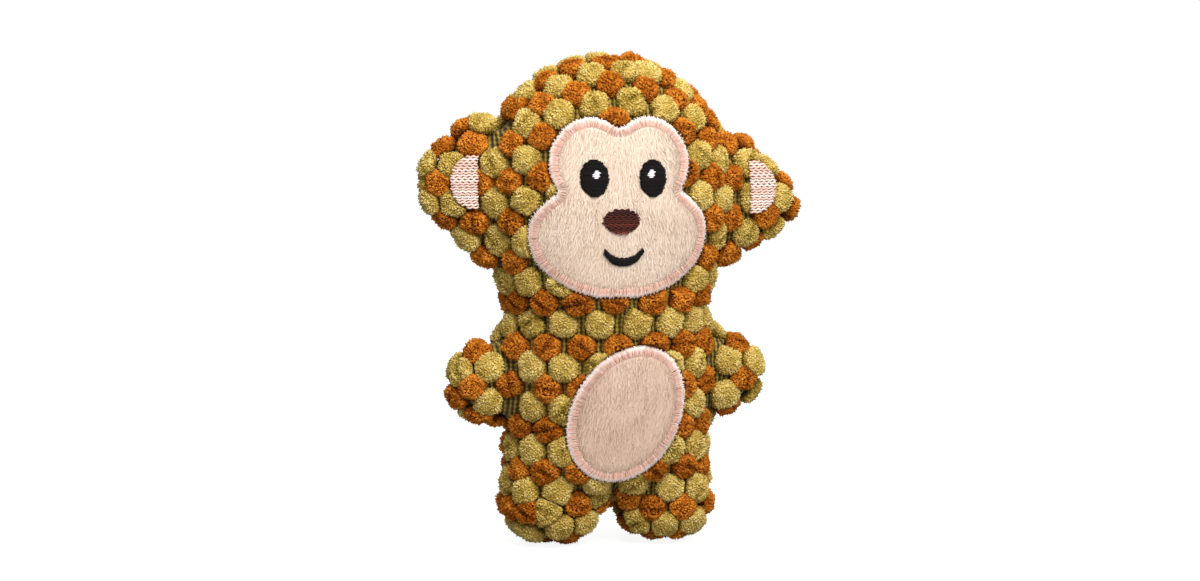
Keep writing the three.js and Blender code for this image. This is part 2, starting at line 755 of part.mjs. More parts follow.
// The bed for a patch, in the pile fabric.
const bedFor = (form, outline) => layer(form, -1, bedDepth).intersect(through(movedIn(outline, -layerGap)));

// A plush patch, its edge pressed flat under the border stitching.
function patch(form, outline) {
  const edge = layer(form, pressedTop, patchBottom).intersect(through(outline));
  const middle = through(movedIn(outline, borderWidth + layerGap));
  return layer(form, patchBottom - appliquePile, patchBottom).intersect(middle).add(edge);
}

function borderStitch(form, outline) {
  const ring = through(outline).subtract(through(movedIn(outline, borderWidth)));
  return layer(form, stitchBottom - stitchHeight, stitchBottom).intersect(ring);
}

// Stitching that is sunk in the plush, and the bed that it leaves there.
const feature = (form, outline) => layer(form, featureTop, featureBottom).intersect(through(outline));

function featureBed(form, outline) {
  const wider = through(movedIn(outline, -layerGap));
  return layer(form, -1, featureBottom + layerGap).intersect(wider);
}

// A solid without the crumbs that are left where two cuts meet.
function largest(solid) {
  return solid.decompose().reduce((best, part) => (part.volume() > best.volume() ? part : best));
}

// The front panel, back panel and filling of one stuffed form. "hollows" gives what is cut from
// it for its neighbours' roots, with a gap round them.
function sewn(form, hollows) {
  const fabric = form(0, "bobbled").subtract(form(pileFabric, "coarse"));
  const skin = hollows ? fabric.subtract(hollows(rootGap)) : fabric;
  const stuffing = form(pileFabric + layerGap, "coarse");
  const filling = hollows ? stuffing.subtract(hollows(rootGap + layerGap)) : stuffing;
  return {
    frontPanel: largest(skin.intersect(inFront)),
    backPanel: largest(skin.intersect(behind)),
    filling,
  };
}

const toy = new THREE.Group();

// Torso
const torso = new THREE.Group();
const arms = { right: armOf("right"), left: armOf("left") };
const legs = { right: legOf("right"), left: legOf("left") };

const socketsOf = (shapes, gap) =>
  shapes.map((shape) => socket(shape, gap)).reduce((whole, cut) => whole.add(cut));
const torsoHollows = (gap) => socketsOf([arms.right, arms.left, legs.right, legs.left], gap);

const squeakerHalf = (squeakerTravel + squeakerShut) / 2 + squeakerPlate;

// A body turned about the squeaker's axis, from a closed profile of [radius, y] points.
function turned(profile, around = 16) {
  const points = [...profile, profile[0]].map(([r, y]) => new THREE.Vector2(r, y));
  return solidOf(new THREE.LatheGeometry(points, around).translate(0, 0, squeakerZ));
}

const squeakerRoom = turned([
  [0, -squeakerHalf - layerGap],
  [squeakerRadius + layerGap, -squeakerHalf - layerGap],
  [squeakerRadius + layerGap, squeakerHalf + layerGap],
  [0, squeakerHalf + layerGap],
]);

const torsoSewn = sewn(torsoForm, torsoHollows);
const torsoCore = torsoSewn.filling.subtract(squeakerRoom);
torso.add(
  meshOf(
    "torso_front_panel",
    torsoSewn.frontPanel.subtract(bedFor(torsoForm, bellyOutline())),
    colours.bobble,
  ),
  meshOf("torso_back_panel", torsoSewn.backPanel, colours.bobble),
  meshOf("torso_front_filling", torsoCore.intersect(inFront), colours.filling),
  meshOf("torso_back_filling", torsoCore.intersect(behind), colours.filling),
  meshOf("belly_patch", patch(torsoForm, bellyOutline()), colours.plush),
  meshOf("belly_border_stitch", borderStitch(torsoForm, bellyOutline()), colours.pinkThread),
);

// Squeaker
const squeaker = new THREE.Group();
const capInside = -squeakerHalf + squeakerPlate;
const baseInside = squeakerHalf - squeakerPlate;

function bellowsProfile() {
  const length = baseInside - capInside - 2 * layerGap;
  const steps = squeakerFolds * 3;
  const wave = (i) => squeakerWave * Math.cos((i / steps) * squeakerFolds * 2 * Math.PI);
  const at = (i, r) => [r + wave(i), capInside + layerGap + (i / steps) * length];
  const outside = squeakerRadius - squeakerWave - layerGap;
  const outer = Array.from({ length: steps + 1 }, (_, i) => at(i, outside));
  const inner = Array.from({ length: steps + 1 }, (_, i) => at(steps - i, outside - squeakerWall));
  return [...outer, ...inner];
}

squeaker.add(
  meshOf(
    "squeaker_cap",
    turned([
      [0, -squeakerHalf],
      [squeakerRadius - squeakerEdge, -squeakerHalf],
      [squeakerRadius, -squeakerHalf + squeakerEdge],
      [squeakerRadius, capInside],
      [0, capInside],
    ]),
    colours.plastic,
  ),
  meshOf("squeaker_bellows", turned(bellowsProfile(), 12), colours.plastic),
  meshOf(
    "squeaker_base",
    turned([
      [reedRadius + layerGap, baseInside],
      [squeakerRadius, baseInside],
      [squeakerRadius, squeakerHalf - squeakerEdge],
      [squeakerRadius - squeakerEdge, squeakerHalf],
      [reedRadius + layerGap, squeakerHalf],
    ]),
    colours.plastic,
  ),
  meshOf(
    "squeaker_reed_plug",
    turned([
      [0, baseInside - reedStem],
      [reedRadius - 1, baseInside - reedStem],
      [reedRadius, baseInside],
      [reedRadius, squeakerHalf],
      [reedBore, squeakerHalf],
      [reedBore, baseInside - reedStem / 4],
      [0, baseInside - reedStem / 4],
    ]),
    colours.reed,
  ),
);
torso.add(squeaker);
toy.add(torso);

// Head
const head = new THREE.Group();
const ears = { right: earOf("right"), left: earOf("left") };

const headHollows = (gap) => neckHollow(gap).add(socketsOf([ears.right, ears.left], gap));
const headSewn = sewn(headForm, headHollows);
const eyeOutlines = {
  right: ellipseOutline(-eyeX, eyeZ, eyeWidth, eyeHeight, 18),
  left: ellipseOutline(eyeX, eyeZ, eyeWidth, eyeHeight, 18),
};
const featureOutlines = [eyeOutlines.right, eyeOutlines.left, noseOutline(), mouthOutline()];
const featureBeds = featureOutlines
  .map((outline) => featureBed(headForm, outline))
  .reduce((whole, bed) => whole.add(bed));
head.add(
  meshOf(
    "head_front_panel",
    headSewn.frontPanel.subtract(bedFor(headForm, faceOutline())),
    colours.bobble,
  ),
  meshOf("head_back_panel", headSewn.backPanel, colours.bobble),
  meshOf("head_filling", headSewn.filling, colours.filling),
  meshOf("face_patch", patch(headForm, faceOutline()).subtract(featureBeds), colours.plush),
  meshOf("face_border_stitch", borderStitch(headForm, faceOutline()), colours.pinkThread),
  meshOf("nose_stitch", feature(headForm, noseOutline()), colours.brownThread),
  meshOf("mouth_stitch", feature(headForm, mouthOutline()), colours.blackThread),
);

// An eye, with a white glint sunk in it towards the nose.
for (const name of ["right", "left"]) {
  const glintX = side[name] * (eyeX - glintIn);
  const glint = ellipseOutline(glintX, eyeZ + glintUp, glintWidth, glintHeight, 10);
  const wider = movedIn(glint, -0.2);
  const glintBed = layer(headForm, -1, featureTop + 0.55).intersect(through(wider));
  const glintPad = layer(headForm, featureTop, featureTop + 0.3).intersect(through(glint));
  const eye = feature(headForm, eyeOutlines[name]).subtract(glintBed);
  head.add(
    meshOf(`${name}_eye_stitch`, eye, colours.blackThread),
    meshOf(`${name}_eye_glint_stitch`, glintPad, colours.whiteThread),
  );
}
toy.add(head);

// Ears, arms and legs
const limbs = new THREE.Group();
for (const name of ["right", "left"]) {
  const kinds = { ear: ears[name], arm: arms[name], leg: legs[name] };
  for (const [kind, shape] of Object.entries(kinds)) {
    const form = (inset, detail = "fine") => limb(shape, inset, detail).intersect(aboveFloor);
    let { frontPanel, backPanel, filling } = sewn(form);
    if (kind === "ear") {
      const outline = earPatchOutline(name);
      const stitch = layer(form, patchBottom - stitchHeight, patchBottom).intersect(through(outline));
      limbs.add(meshOf(`${name}_ear_inner_stitch`, stitch, colours.pinkThread));
      frontPanel = frontPanel.subtract(bedFor(form, outline));
    }
    limbs.add(
      meshOf(`${name}_${kind}_front_panel`, frontPanel, colours.bobble),
      meshOf(`${name}_${kind}_back_panel`, backPanel, colours.bobble),
      meshOf(`${name}_${kind}_filling`, filling, colours.filling),
    );
  }
}
toy.add(limbs);

export default toy;
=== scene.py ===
"""A small stuffed monkey, sewn from bobble-pile fabric in two colours.

The monkey stands on its two soles at z = 0, faces -Y, and its own right side is at -X. The
shapes are worked out in millimetres in that frame, and made metres when a piece is finished.
"""
import math
from collections import defaultdict

import bmesh
import bpy
import numpy as np
from mathutils import Matrix, Vector, noise
from mathutils.bvhtree import BVHTree
from mathutils.kdtree import KDTree


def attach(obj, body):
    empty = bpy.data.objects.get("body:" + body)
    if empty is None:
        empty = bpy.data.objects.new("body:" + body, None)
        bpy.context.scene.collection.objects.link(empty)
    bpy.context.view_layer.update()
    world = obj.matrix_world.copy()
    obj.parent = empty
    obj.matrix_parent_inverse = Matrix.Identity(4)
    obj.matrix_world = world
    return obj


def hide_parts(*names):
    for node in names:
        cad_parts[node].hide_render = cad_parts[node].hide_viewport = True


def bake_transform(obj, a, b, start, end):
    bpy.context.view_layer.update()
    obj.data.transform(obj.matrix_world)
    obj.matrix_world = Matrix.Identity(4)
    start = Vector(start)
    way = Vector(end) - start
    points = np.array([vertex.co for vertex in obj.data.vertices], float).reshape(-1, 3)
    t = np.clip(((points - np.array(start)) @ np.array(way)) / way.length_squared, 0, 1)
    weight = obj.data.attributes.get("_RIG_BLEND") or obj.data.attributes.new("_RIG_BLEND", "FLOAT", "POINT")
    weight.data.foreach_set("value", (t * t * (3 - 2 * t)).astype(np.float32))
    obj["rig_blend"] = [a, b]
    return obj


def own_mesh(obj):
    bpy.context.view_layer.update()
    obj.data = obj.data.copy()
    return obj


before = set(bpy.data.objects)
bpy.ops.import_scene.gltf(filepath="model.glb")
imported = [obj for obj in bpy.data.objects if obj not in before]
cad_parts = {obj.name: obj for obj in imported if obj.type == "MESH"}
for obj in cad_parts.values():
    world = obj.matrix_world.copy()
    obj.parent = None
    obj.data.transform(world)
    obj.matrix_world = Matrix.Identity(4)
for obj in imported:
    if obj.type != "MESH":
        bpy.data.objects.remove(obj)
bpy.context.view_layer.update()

scene = bpy.context.scene
MM = 0.001

# Camera, in metres: a little above the toy and a little to its own right
VIEW_AZIMUTH, VIEW_ELEVATION = math.radians(-12), math.radians(6.5)
VIEW_DISTANCE = 1.3
VIEW_WIDTH = 0.384  # what the picture takes in at the toy
AIM_Z, AIM_LEFT = 0.0814, 0.0018
SENSOR_WIDTH = 36


def photographed():
    towards_camera = Vector((
        math.sin(VIEW_AZIMUTH) * math.cos(VIEW_ELEVATION),
        -math.cos(VIEW_AZIMUTH) * math.cos(VIEW_ELEVATION),
        math.sin(VIEW_ELEVATION),
    ))
    picture_right = Vector((math.cos(VIEW_AZIMUTH), math.sin(VIEW_AZIMUTH), 0))
    aim = Vector((0, 0, AIM_Z)) - AIM_LEFT * picture_right
    lens = bpy.data.cameras.new("camera")
    lens.lens = SENSOR_WIDTH * VIEW_DISTANCE / VIEW_WIDTH
    camera = bpy.data.objects.new("camera", lens)
    camera.location = aim + VIEW_DISTANCE * towards_camera
    camera.rotation_euler = (-towards_camera).to_track_quat("-Z", "Y").to_euler()
    scene.collection.objects.link(camera)
    scene.camera = camera


photographed()

# ---------------- Forms of the stuffed body

NECK_Z = 76
TORSO_HALF_WIDTH, TORSO_HALF_DEPTH, CROTCH_Z = 36.6, 25.5, 12.8
HEAD_TOP_Z, HEAD_HALF_WIDTH, HEAD_HALF_DEPTH = 159.5, 42.2, 28.5
EAR_RADIUS = 9.4
# height of the root, rise of the tip above it, reach, half height
EARS = {"right": (114.5, 3.6, 21, 25), "left": (112, -2, 23, 22.5)}
ARM_Z, ARM_REACH, ARM_HALF_HEIGHT, ARM_RADIUS = 54, 18, 15, 11.5
ARM_DROOP = {"right": 3.5, "left": 0.5}
HIP_Z, LEG_HALF_WIDTH, LEG_RADIUS, LEG_X = 17, 17.7, 18.3, 17.95
SOLE_BELOW = 0.5  # how far the leg's form reaches past the floor, where its pile is pressed flat
SIDE = {"right": -1, "left": 1}

# Stations along each stuffed form, all as shares of its own sizes.
# Torso and head: height, half width, half depth. The head's heights count from its middle.
TORSO_STATIONS = (
    (0, 0, 0), (0.03, 0.76, 0.62), (0.09, 0.945, 0.8), (0.17, 0.985, 0.89), (0.36, 0.945, 0.96),
    (0.55, 0.985, 1), (0.75, 1, 0.99), (0.9, 0.975, 0.93), (1.03, 0.935, 0.85), (1.15, 0.6, 0.6),
    (1.2, 0, 0),
)
HEAD_STATIONS = (
    (-1.25, 0, 0), (-1.17, 0.66, 0.7), (-1, 0.81, 0.86), (-0.72, 0.885, 0.93),
    (-0.38, 0.975, 0.985), (0, 1, 1), (0.33, 0.965, 0.95), (0.63, 0.8, 0.81),
    (0.85, 0.555, 0.57), (0.965, 0.31, 0.32), (1, 0, 0),
)
HEAD_MIDDLE = 0.45  # of the way from the neck to the crown
# Limbs: reach, rise or droop, half height, half depth
EAR_STATIONS = (
    (-0.4, 0.5, 0, 0), (-0.2, 0.5, 1.06, 0.9), (0, 0.5, 1.1, 1), (0.25, 0.6, 0.88, 0.98),
    (0.5, 0.8, 0.65, 0.92), (0.78, 1, 0.43, 0.74), (0.94, 1, 0.25, 0.44), (1, 1, 0, 0),
)
ARM_STATIONS = (
    (-0.4, 0, 0, 0), (-0.2, 0, 1.02, 0.9), (0, 0, 1.1, 1), (0.4, 0.3, 1, 1),
    (0.75, 0.8, 0.79, 0.84), (0.94, 1, 0.42, 0.5), (1, 1, 0, 0),
)
LEG_STATIONS = (
    (-0.4, 0, 0, 0), (-0.2, 0, 0.9, 0.9), (0, 0, 1, 1), (0.45, 0, 0.985, 0.99),
    (0.8, 0, 0.9, 0.92), (0.97, 0, 0.72, 0.76), (1, 0, 0, 0),
)
# How square the forms are across: 2 is an ellipse
TORSO_SQUARE, HEAD_SQUARE, EAR_SQUARE, ARM_SQUARE, LEG_SQUARE = 2.2, 2.15, 2.1, 2.3, 3

PILE = 3.7  # from the knitted backing to the top of the bobbles


def power(value, exponent):
    return math.copysign(abs(value) ** exponent, value)


def on_curve(points, s):
    """The point at s along a smooth curve through the middle points of a list."""
    i = min(int(s), len(points) - 4)
    u = s - i
    before, start, end, after = points[i:i + 4]
    return 0.5 * (
        2 * start + (end - before) * u + (2 * before - 5 * start + 4 * end - after) * u * u
        + (3 * start - before - 3 * end + after) * u ** 3
    )


def stuffed(place, stations, squareness, rings=30, around=48):
    """A stuffed form strung on stations of (out, rise, half size along, half size sideways)."""
    rows = np.array(stations, float)
    flipped = np.array([1, 1, -1, -1])
    rows = np.vstack([rows[1] * flipped, rows, rows[-2] * flipped])
    form = bmesh.new()
    bmesh.ops.create_uvsphere(form, u_segments=around, v_segments=rings, radius=1)
    for v in form.verts:
        s = (len(stations) - 1) * (1 - math.acos(max(-1, min(1, v.co.z))) / math.pi)
        out, rise, along, sideways = on_curve(rows, s)
        turn = math.atan2(v.co.y, v.co.x)
        if abs(v.co.z) > 0.99999:
            along = sideways = 0
        v.co = place @ Vector((
            out,
            power(math.sin(turn), 2 / squareness) * sideways,
            rise + power(math.cos(turn), 2 / squareness) * along,
        ))
    return form


def soft_root(place, radius, half_length, squareness):
    """The round root of a limb, a superellipse turned about the line that the limb bends on."""
    form = bmesh.new()
    bmesh.ops.create_uvsphere(form, u_segments=40, v_segments=24, radius=1)
    for v in form.verts:
        across = math.hypot(v.co.x, v.co.y)
        grown = across ** (2 / squareness) / across if across > 1e-6 else 0
        v.co = place @ Vector((
            v.co.x * grown * radius,
            v.co.y * grown * radius,
            power(v.co.z, 2 / squareness) * half_length,
        ))
    return form


def standing_at(origin, across, up):
    """Moves a shape to a place and turns its X across and its Z up."""
    across, up = Vector(across), Vector(up)
    turn = Matrix((across, up.cross(across), up)).transposed().to_4x4()
    return Matrix.Translation(origin) @ turn


def limb(place, radius, half_length, squareness, reach, shift, stations, inset):
    """A limb's stuffed form and its round root. shift is how far its tip lies off its line."""
    sizes = np.array([reach, shift, half_length, radius])
    whole = np.array([reach, half_length, half_length, radius])
    return [
        stuffed(place, np.array(stations) * sizes * (whole - inset) / whole, squareness),
        soft_root(place, radius - inset, half_length - inset, squareness),
    ]


def trunk(half_width, half_depth, squareness, stations):
    upright = standing_at((0, 0, 0), (0, 0, 1), (1, 0, 0))
    return stuffed(
        upright,
        [(z, 0, w * half_width, d * half_depth) for z, w, d in stations],
        squareness, 40, 64,
    )


def toy_forms(inset):
    """The stuffed forms of the whole toy, taken in evenly by inset."""
    bottom = CROTCH_Z + inset
    height = NECK_Z - bottom
    middle = NECK_Z + HEAD_MIDDLE * (HEAD_TOP_Z - NECK_Z)
    below, above = middle - NECK_Z, HEAD_TOP_Z - inset - middle
    forms = [
        trunk(TORSO_HALF_WIDTH - inset, TORSO_HALF_DEPTH - inset, TORSO_SQUARE, [
            (bottom + share * height, w, d) for share, w, d in TORSO_STATIONS
        ]),
        trunk(HEAD_HALF_WIDTH - inset, HEAD_HALF_DEPTH - inset, HEAD_SQUARE, [
            (middle + (below if share < 0 else above) * share, w, d)
            for share, w, d in HEAD_STATIONS
        ]),
    ]
    for name, side in SIDE.items():
        z, rise, reach, tall = EARS[name]
        place = standing_at((side * HEAD_HALF_WIDTH, 0, z), (side, 0, 0), (0, 0, 1))
        forms += limb(place, EAR_RADIUS, tall, EAR_SQUARE, reach, rise, EAR_STATIONS, inset)
        place = standing_at((side * TORSO_HALF_WIDTH, 0, ARM_Z), (side, 0, 0), (0, 0, 1))
        forms += limb(
            place, ARM_RADIUS, ARM_HALF_HEIGHT, ARM_SQUARE, ARM_REACH, -ARM_DROOP[name],
            ARM_STATIONS, inset,
        )
        place = standing_at((side * LEG_X, 0, HIP_Z), (0, 0, -1), (1, 0, 0))
        forms += limb(
            place, LEG_RADIUS, LEG_HALF_WIDTH, LEG_SQUARE, HIP_Z + SOLE_BELOW, 0,
            LEG_STATIONS, inset,
        )
    return forms


def as_mesh(name, form):
    mesh = bpy.data.meshes.new(name)
    form.to_mesh(mesh)
    form.free()
    return mesh


def stamp(whole, mesh):
    """Adds a mesh to a bmesh and removes it."""
    whole.from_mesh(mesh, face_normals=False, vertex_normals=False)
    bpy.data.meshes.remove(mesh)


def joined(forms):
    whole = bmesh.new()
    for form in forms:
        bmesh.ops.recalc_face_normals(form, faces=form.faces)
        stamp(whole, as_mesh("part", form))
    whole.normal_update()
    return whole


def linked(name, mesh):
    piece = bpy.data.objects.new(name, mesh)
    scene.collection.objects.link(piece)
    return piece


def evaluated_mesh(piece):
    graph = bpy.context.evaluated_depsgraph_get()
    return bpy.data.meshes.new_from_object(piece.evaluated_get(graph), depsgraph=graph)


def positions(mesh):
    flat = np.empty(len(mesh.vertices) * 3)
    mesh.vertices.foreach_get("co", flat)
    return flat.reshape(-1, 3)


def set_positions(mesh, places):
    mesh.vertices.foreach_set("co", np.asarray(places, float).ravel())
    mesh.update()


SKIN_VOXEL = 0.004  # metres
SLACK = 0.9  # how far the stuffing pushes the skin out
MOST_PUSH = 1.2  # times that at any place
STUFFING_STEPS = 20


def plumped_skin():
    """The knitted backing as one closed skin, blown up by its stuffing. In metres."""
    body = joined(toy_forms(PILE + SLACK))
    bmesh.ops.scale(body, vec=(MM, MM, MM), verts=body.verts)
    skin = linked("skin", as_mesh("skin", body))
    remesh = skin.modifiers.new("one skin", "REMESH")
    remesh.mode = "VOXEL"
    remesh.voxel_size = SKIN_VOXEL
    skin.data = evaluated_mesh(skin)
    skin.modifiers.clear()
    start = positions(skin.data)
    cloth = skin.modifiers.new("stuffing", "CLOTH")
    cloth.settings.quality = 6
    cloth.settings.mass = 0.3
    cloth.settings.use_pressure = True
    cloth.settings.uniform_pressure_force = 4
    cloth.settings.effector_weights.gravity = 0
    cloth.point_cache.frame_start, cloth.point_cache.frame_end = 1, STUFFING_STEPS
    for step in range(1, STUFFING_STEPS + 1):
        scene.frame_set(step)
    blown = evaluated_mesh(skin)
    push = positions(blown) - start
    far = np.linalg.norm(push, axis=1, keepdims=True)
    skin.modifiers.clear()
    scene.frame_set(1)
    share = np.minimum(1, MOST_PUSH * SLACK * MM / np.maximum(far, 1e-9))
    set_positions(skin.data, start + push * share)
    finer = skin.modifiers.new("finer", "SUBSURF")
    finer.levels = finer.render_levels = 1
    skin.data = evaluated_mesh(skin)
    skin.modifiers.clear()
    mesh = skin.data
    bpy.data.objects.remove(skin)
    return mesh


skin_mesh = plumped_skin()
skin_form = bmesh.new()
skin_form.from_mesh(skin_mesh)
bmesh.ops.scale(skin_form, vec=(1 / MM, 1 / MM, 1 / MM), verts=skin_form.verts)
skin_form.normal_update()
SKIN = BVHTree.FromBMesh(skin_form)

outer_form = joined(toy_forms(0))
OUTER = BVHTree.FromBMesh(outer_form)
outer_form.free()


def front_y(x, z):
    """Where the front of the toy's outside lies, at a place in the front view."""
    hit = OUTER.ray_cast(Vector((x, -200, z)), Vector((0, 1, 0)))[0]
    return hit.y if hit else 0


def on_front(x, z, lift=0):
    """A point on the front of the toy's outside, lifted off it, and the way out there."""
    step = 1.2
    here = Vector((x, front_y(x, z), z))
    across = Vector((2 * step, front_y(x + step, z) - front_y(x - step, z), 0))
    up = Vector((0, front_y(x, z + step) - front_y(x, z - step), 2 * step))
    out = across.cross(up).normalized()
    return here + lift * out, out


# ---------------- What moves with what

# Where the fabric starts to follow the ears, the arms, the head and the legs, in millimetres
EAR_ROOT_X, ARM_ROOT_X, CHIN_ROOT_Z, GROIN_Z = 38.4, 32.7, 69, 21
ARM_LOW_Z, ARM_HIGH_Z = 36, 70

# Fabric that crosses a joint, in metres: it follows the first body before the first point,
# and the second after the second point.
BENDS = {
    "head": ("torso", "head", (0, 0, 0.069), (0, 0, 0.081)),
}
for name, side in SIDE.items():
    BENDS[name + "_ear"] = ("head", name + "_ear", (side * 0.0384, 0, 0), (side * 0.0475, 0, 0))
    BENDS[name + "_arm"] = ("torso", name + "_arm", (side * 0.0327, 0, 0), (side * 0.042, 0, 0))
    BENDS[name + "_leg"] = ("torso", name + "_leg", (0, 0, 0.021), (side * 0.008, 0, 0.005))
BODIES = ["torso", "head"]
BODIES += [f"{name}_{limb}" for limb in ("ear", "arm", "leg") for name in SIDE]


def body_at(place):
    """The body that a place on the skin belongs to."""
    x, z = abs(place[0]), place[2]
    name = "right" if place[0] < 0 else "left"
    if z > NECK_Z and x > EAR_ROOT_X:
        return name + "_ear"
    if ARM_LOW_Z < z < ARM_HIGH_Z and x > ARM_ROOT_X:
        return name + "_arm"
    if z > CHIN_ROOT_Z:
        return "head"
    if z < GROIN_Z + 0.5 * x:
        return name + "_leg"
    return "torso"


def finished(name, form, material, body, stands_for=()):
    """A bmesh in millimetres as a finished piece that moves with its body."""
    bmesh.ops.scale(form, vec=(MM, MM, MM), verts=form.verts)
    mesh = as_mesh(name, form)
    mesh.polygons.foreach_set("use_smooth", [True] * len(mesh.polygons))
    mesh.materials.append(material)
    piece = linked(name, mesh)
    if body in BENDS:
        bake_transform(piece, *BENDS[body])
    else:
        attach(piece, body)
    if stands_for:
        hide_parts(*stands_for)
    return piece


# ---------------- Materials

def linear(colour):
    """An sRGB hex colour as the linear one that a shader takes."""
    parts = [int(colour[i:i + 2], 16) / 255 for i in (1, 3, 5)]
    return [c / 12.92 if c <= 0.04045 else ((c + 0.055) / 1.055) ** 2.4 for c in parts] + [1]


def add(tree, kind, sockets=None, stops=(), **settings):
    """Adds a node with its settings, a value or a link for each socket named, and the
    (position, hex colour) stops of a colour ramp."""
    node = tree.nodes.new(kind)
    for setting, value in settings.items():
        setattr(node, setting, value)
    for socket, value in (sockets or {}).items():
        if isinstance(value, bpy.types.NodeSocket):
            tree.links.new(value, node.inputs[socket])
        else:
            node.inputs[socket].default_value = value
    for k, (position, colour) in enumerate(stops):
        ramp = node.color_ramp.elements
        stop = ramp[k] if k < len(ramp) else ramp.new(1)
        stop.position, stop.color = position, linear(colour)
    return node


def new_material(name, **sockets):
    """A material with its shader's constant sockets set. Returns it, its tree, its shader and
    the place on the piece."""
    material = bpy.data.materials.new(name)
    material.use_nodes = True
    tree = material.node_tree
    tree.nodes.clear()
    constants = {socket.replace("_", " "): value for socket, value in sockets.items()}
    shader = add(tree, "ShaderNodeBsdfPrincipled", constants)
    add(tree, "ShaderNodeOutputMaterial", {"Surface": shader.outputs[0]})
    return material, tree, shader, add(tree, "ShaderNodeTexCoord").outputs["Object"]


def coloured(tree, shader, start, shares, colours, relief, strength, depth):
    """Colours a surface by the sum of its patterns' shares, and raises it by its relief, or by
    that sum. A pattern given by name is an attribute: "tip" carries painted shade and painted
    highlight, darker at the roots of curls and fibres, in a bobble's clefts and hollows and where
    it turns under, and paler at the outer bend of a border thread; "tone" says how light that one
    is as a whole."""
    level = start
    for pattern, share in shares:
        if isinstance(pattern, str):
            pattern = add(tree, "ShaderNodeAttribute", attribute_name=pattern).outputs["Fac"]
        sockets = {0: pattern, 1: share, 2: level}
        level = add(tree, "ShaderNodeMath", sockets, operation="MULTIPLY_ADD").outputs[0]
    colour = add(tree, "ShaderNodeValToRGB", {"Fac": level}, colours)
    tree.links.new(colour.outputs["Color"], shader.inputs["Base Color"])
    bump = add(tree, "ShaderNodeBump", {
        "Height": level if relief is None else relief, "Strength": strength, "Distance": depth,
    })
    tree.links.new(bump.outputs["Normal"], shader.inputs["Normal"])


def bobble_yarn(name, colours):
    """Acrylic pile, dyed, curled and bunched into bobbles: matt, with a faint bloom of loose fibre
    at its edges. Its colour carries painted shade at the roots of its curls, in its clefts and
    hollows and where a bobble turns under, and painted highlight on the tips of its curls. The
    real fibre is too fine to show, so the noise is drawn at about 0.4 mm."""
    material, tree, shader, place = new_material(
        name, Roughness=0.92, Specular_IOR_Level=0.15, Sheen_Weight=0.2, Sheen_Roughness=0.5,
        Sheen_Tint=linear(colours[-1][1]),
    )
    noise_of = {"Vector": place, "Scale": 2400, "Detail": 2}
    fibres = add(tree, "ShaderNodeTexNoise", noise_of).outputs["Fac"]
    shares = (("tip", 1), ("tone", 0.15), (fibres, 0.4))
    coloured(tree, shader, -0.15, shares, colours, fibres, 0.8, 0.0002)
    return material


def ribbed_knit(name, colours, rib):
    """Acrylic knitted on a ribbed machine, rib millimetres between columns: matt, in upright
    cords of small V stitches, with painted shade in the furrows between them."""
    material, tree, shader, place = new_material(
        name, Roughness=0.9, Specular_IOR_Level=0.2, Sheen_Weight=0.15,
    )
    shares = []
    for way, share, wobble in (("X", 0.7, 1.5), ("Z", 0.3, 2)):
        bands = add(tree, "ShaderNodeTexWave", {
            "Vector": place, "Scale": 1000 / rib / 20 * math.pi, "Distortion": wobble,
            "Detail": 1, "Detail Scale": 2,
        }, bands_direction=way)
        shares.append((bands.outputs["Fac"], share))
    coloured(tree, shader, 0, shares, colours, None, 0.8, 0.0004)
    return material


def plush_pile(name, colours, blotch):
    """Polyester plush, sheared short and brushed: soft and matt, combed downwards into streaks
    about 1 mm wide, in blotches some blotch millimetres across where the pile lies another
    way. Its fibres carry painted shade at their roots."""
    material, tree, shader, place = new_material(
        name, Roughness=0.85, Specular_IOR_Level=0.2, Sheen_Weight=0.15, Sheen_Roughness=0.5,
        Sheen_Tint=linear("#fff1e6"),
    )
    lie = add(tree, "ShaderNodeTexNoise", {
        "Vector": place, "Scale": 1000 / blotch, "Detail": 4, "Roughness": 0.6,
    }).outputs["Fac"]
    bent = add(tree, "ShaderNodeTexNoise", {
        "Vector": place, "Scale": 120, "Detail": 1,
    }).outputs["Color"]
    swayed = add(tree, "ShaderNodeVectorMath", {
        0: bent, 1: (0.004, 0, 0), 2: place,
    }, operation="MULTIPLY_ADD").outputs[0]
    combed = add(tree, "ShaderNodeVectorMath", {
        0: swayed, 1: (1, 1, 0.16),
    }, operation="MULTIPLY").outputs[0]
    streak = add(tree, "ShaderNodeTexNoise", {
        "Vector": combed, "Scale": 1100, "Detail": 3, "Roughness": 0.6,
    }).outputs["Fac"]
    # tip puts painted shade at the fibres' roots.
    shares = ((lie, 0.6), (streak, 0.7), ("tone", 0.4), ("tip", 0.2))
    coloured(tree, shader, -0.5, shares, colours, streak, 0.6, 0.0004)
    return material


def embroidery(name, colours, rough, shine=0.4):
    """Filament polyester, twisted and stitched in tight rows: a soft satin gloss along each
    stitch, and fibres in it that are drawn at about 0.4 mm, coarser than the real ones, so
    that they show."""
    material, tree, shader, place = new_material(
        name, Roughness=rough, Specular_IOR_Level=shine, Sheen_Weight=0.4 * shine,
        Sheen_Roughness=0.4,
    )
    noise_of = {"Vector": place, "Scale": 2600, "Detail": 2}
    fibres = add(tree, "ShaderNodeTexNoise", noise_of).outputs["Fac"]
    # tip puts a painted highlight at the outer bend of a border thread.
    shares = ((fibres, 0.4), ("tone", 1), ("tip", 0.8))
    coloured(tree, shader, -0.2, shares, colours, fibres, 0.4, 0.0001)
    return material


def moulded_plastic(name, colour, dusty):
    """Polythene, injection moulded: slightly waxy, with a fine mottle from the mould."""
    material, tree, shader, place = new_material(
        name, Roughness=0.4, Subsurface_Weight=0.1, Subsurface_Scale=0.002,
    )
    noise_of = {"Vector": place, "Scale": 400, "Detail": 3}
    mottle = add(tree, "ShaderNodeTexNoise", noise_of).outputs["Fac"]
    colours = [(0.3, dusty), (0.7, colour)]
    coloured(tree, shader, 0, [(mottle, 1)], colours, mottle, 0.2, 0.0001)
    return material
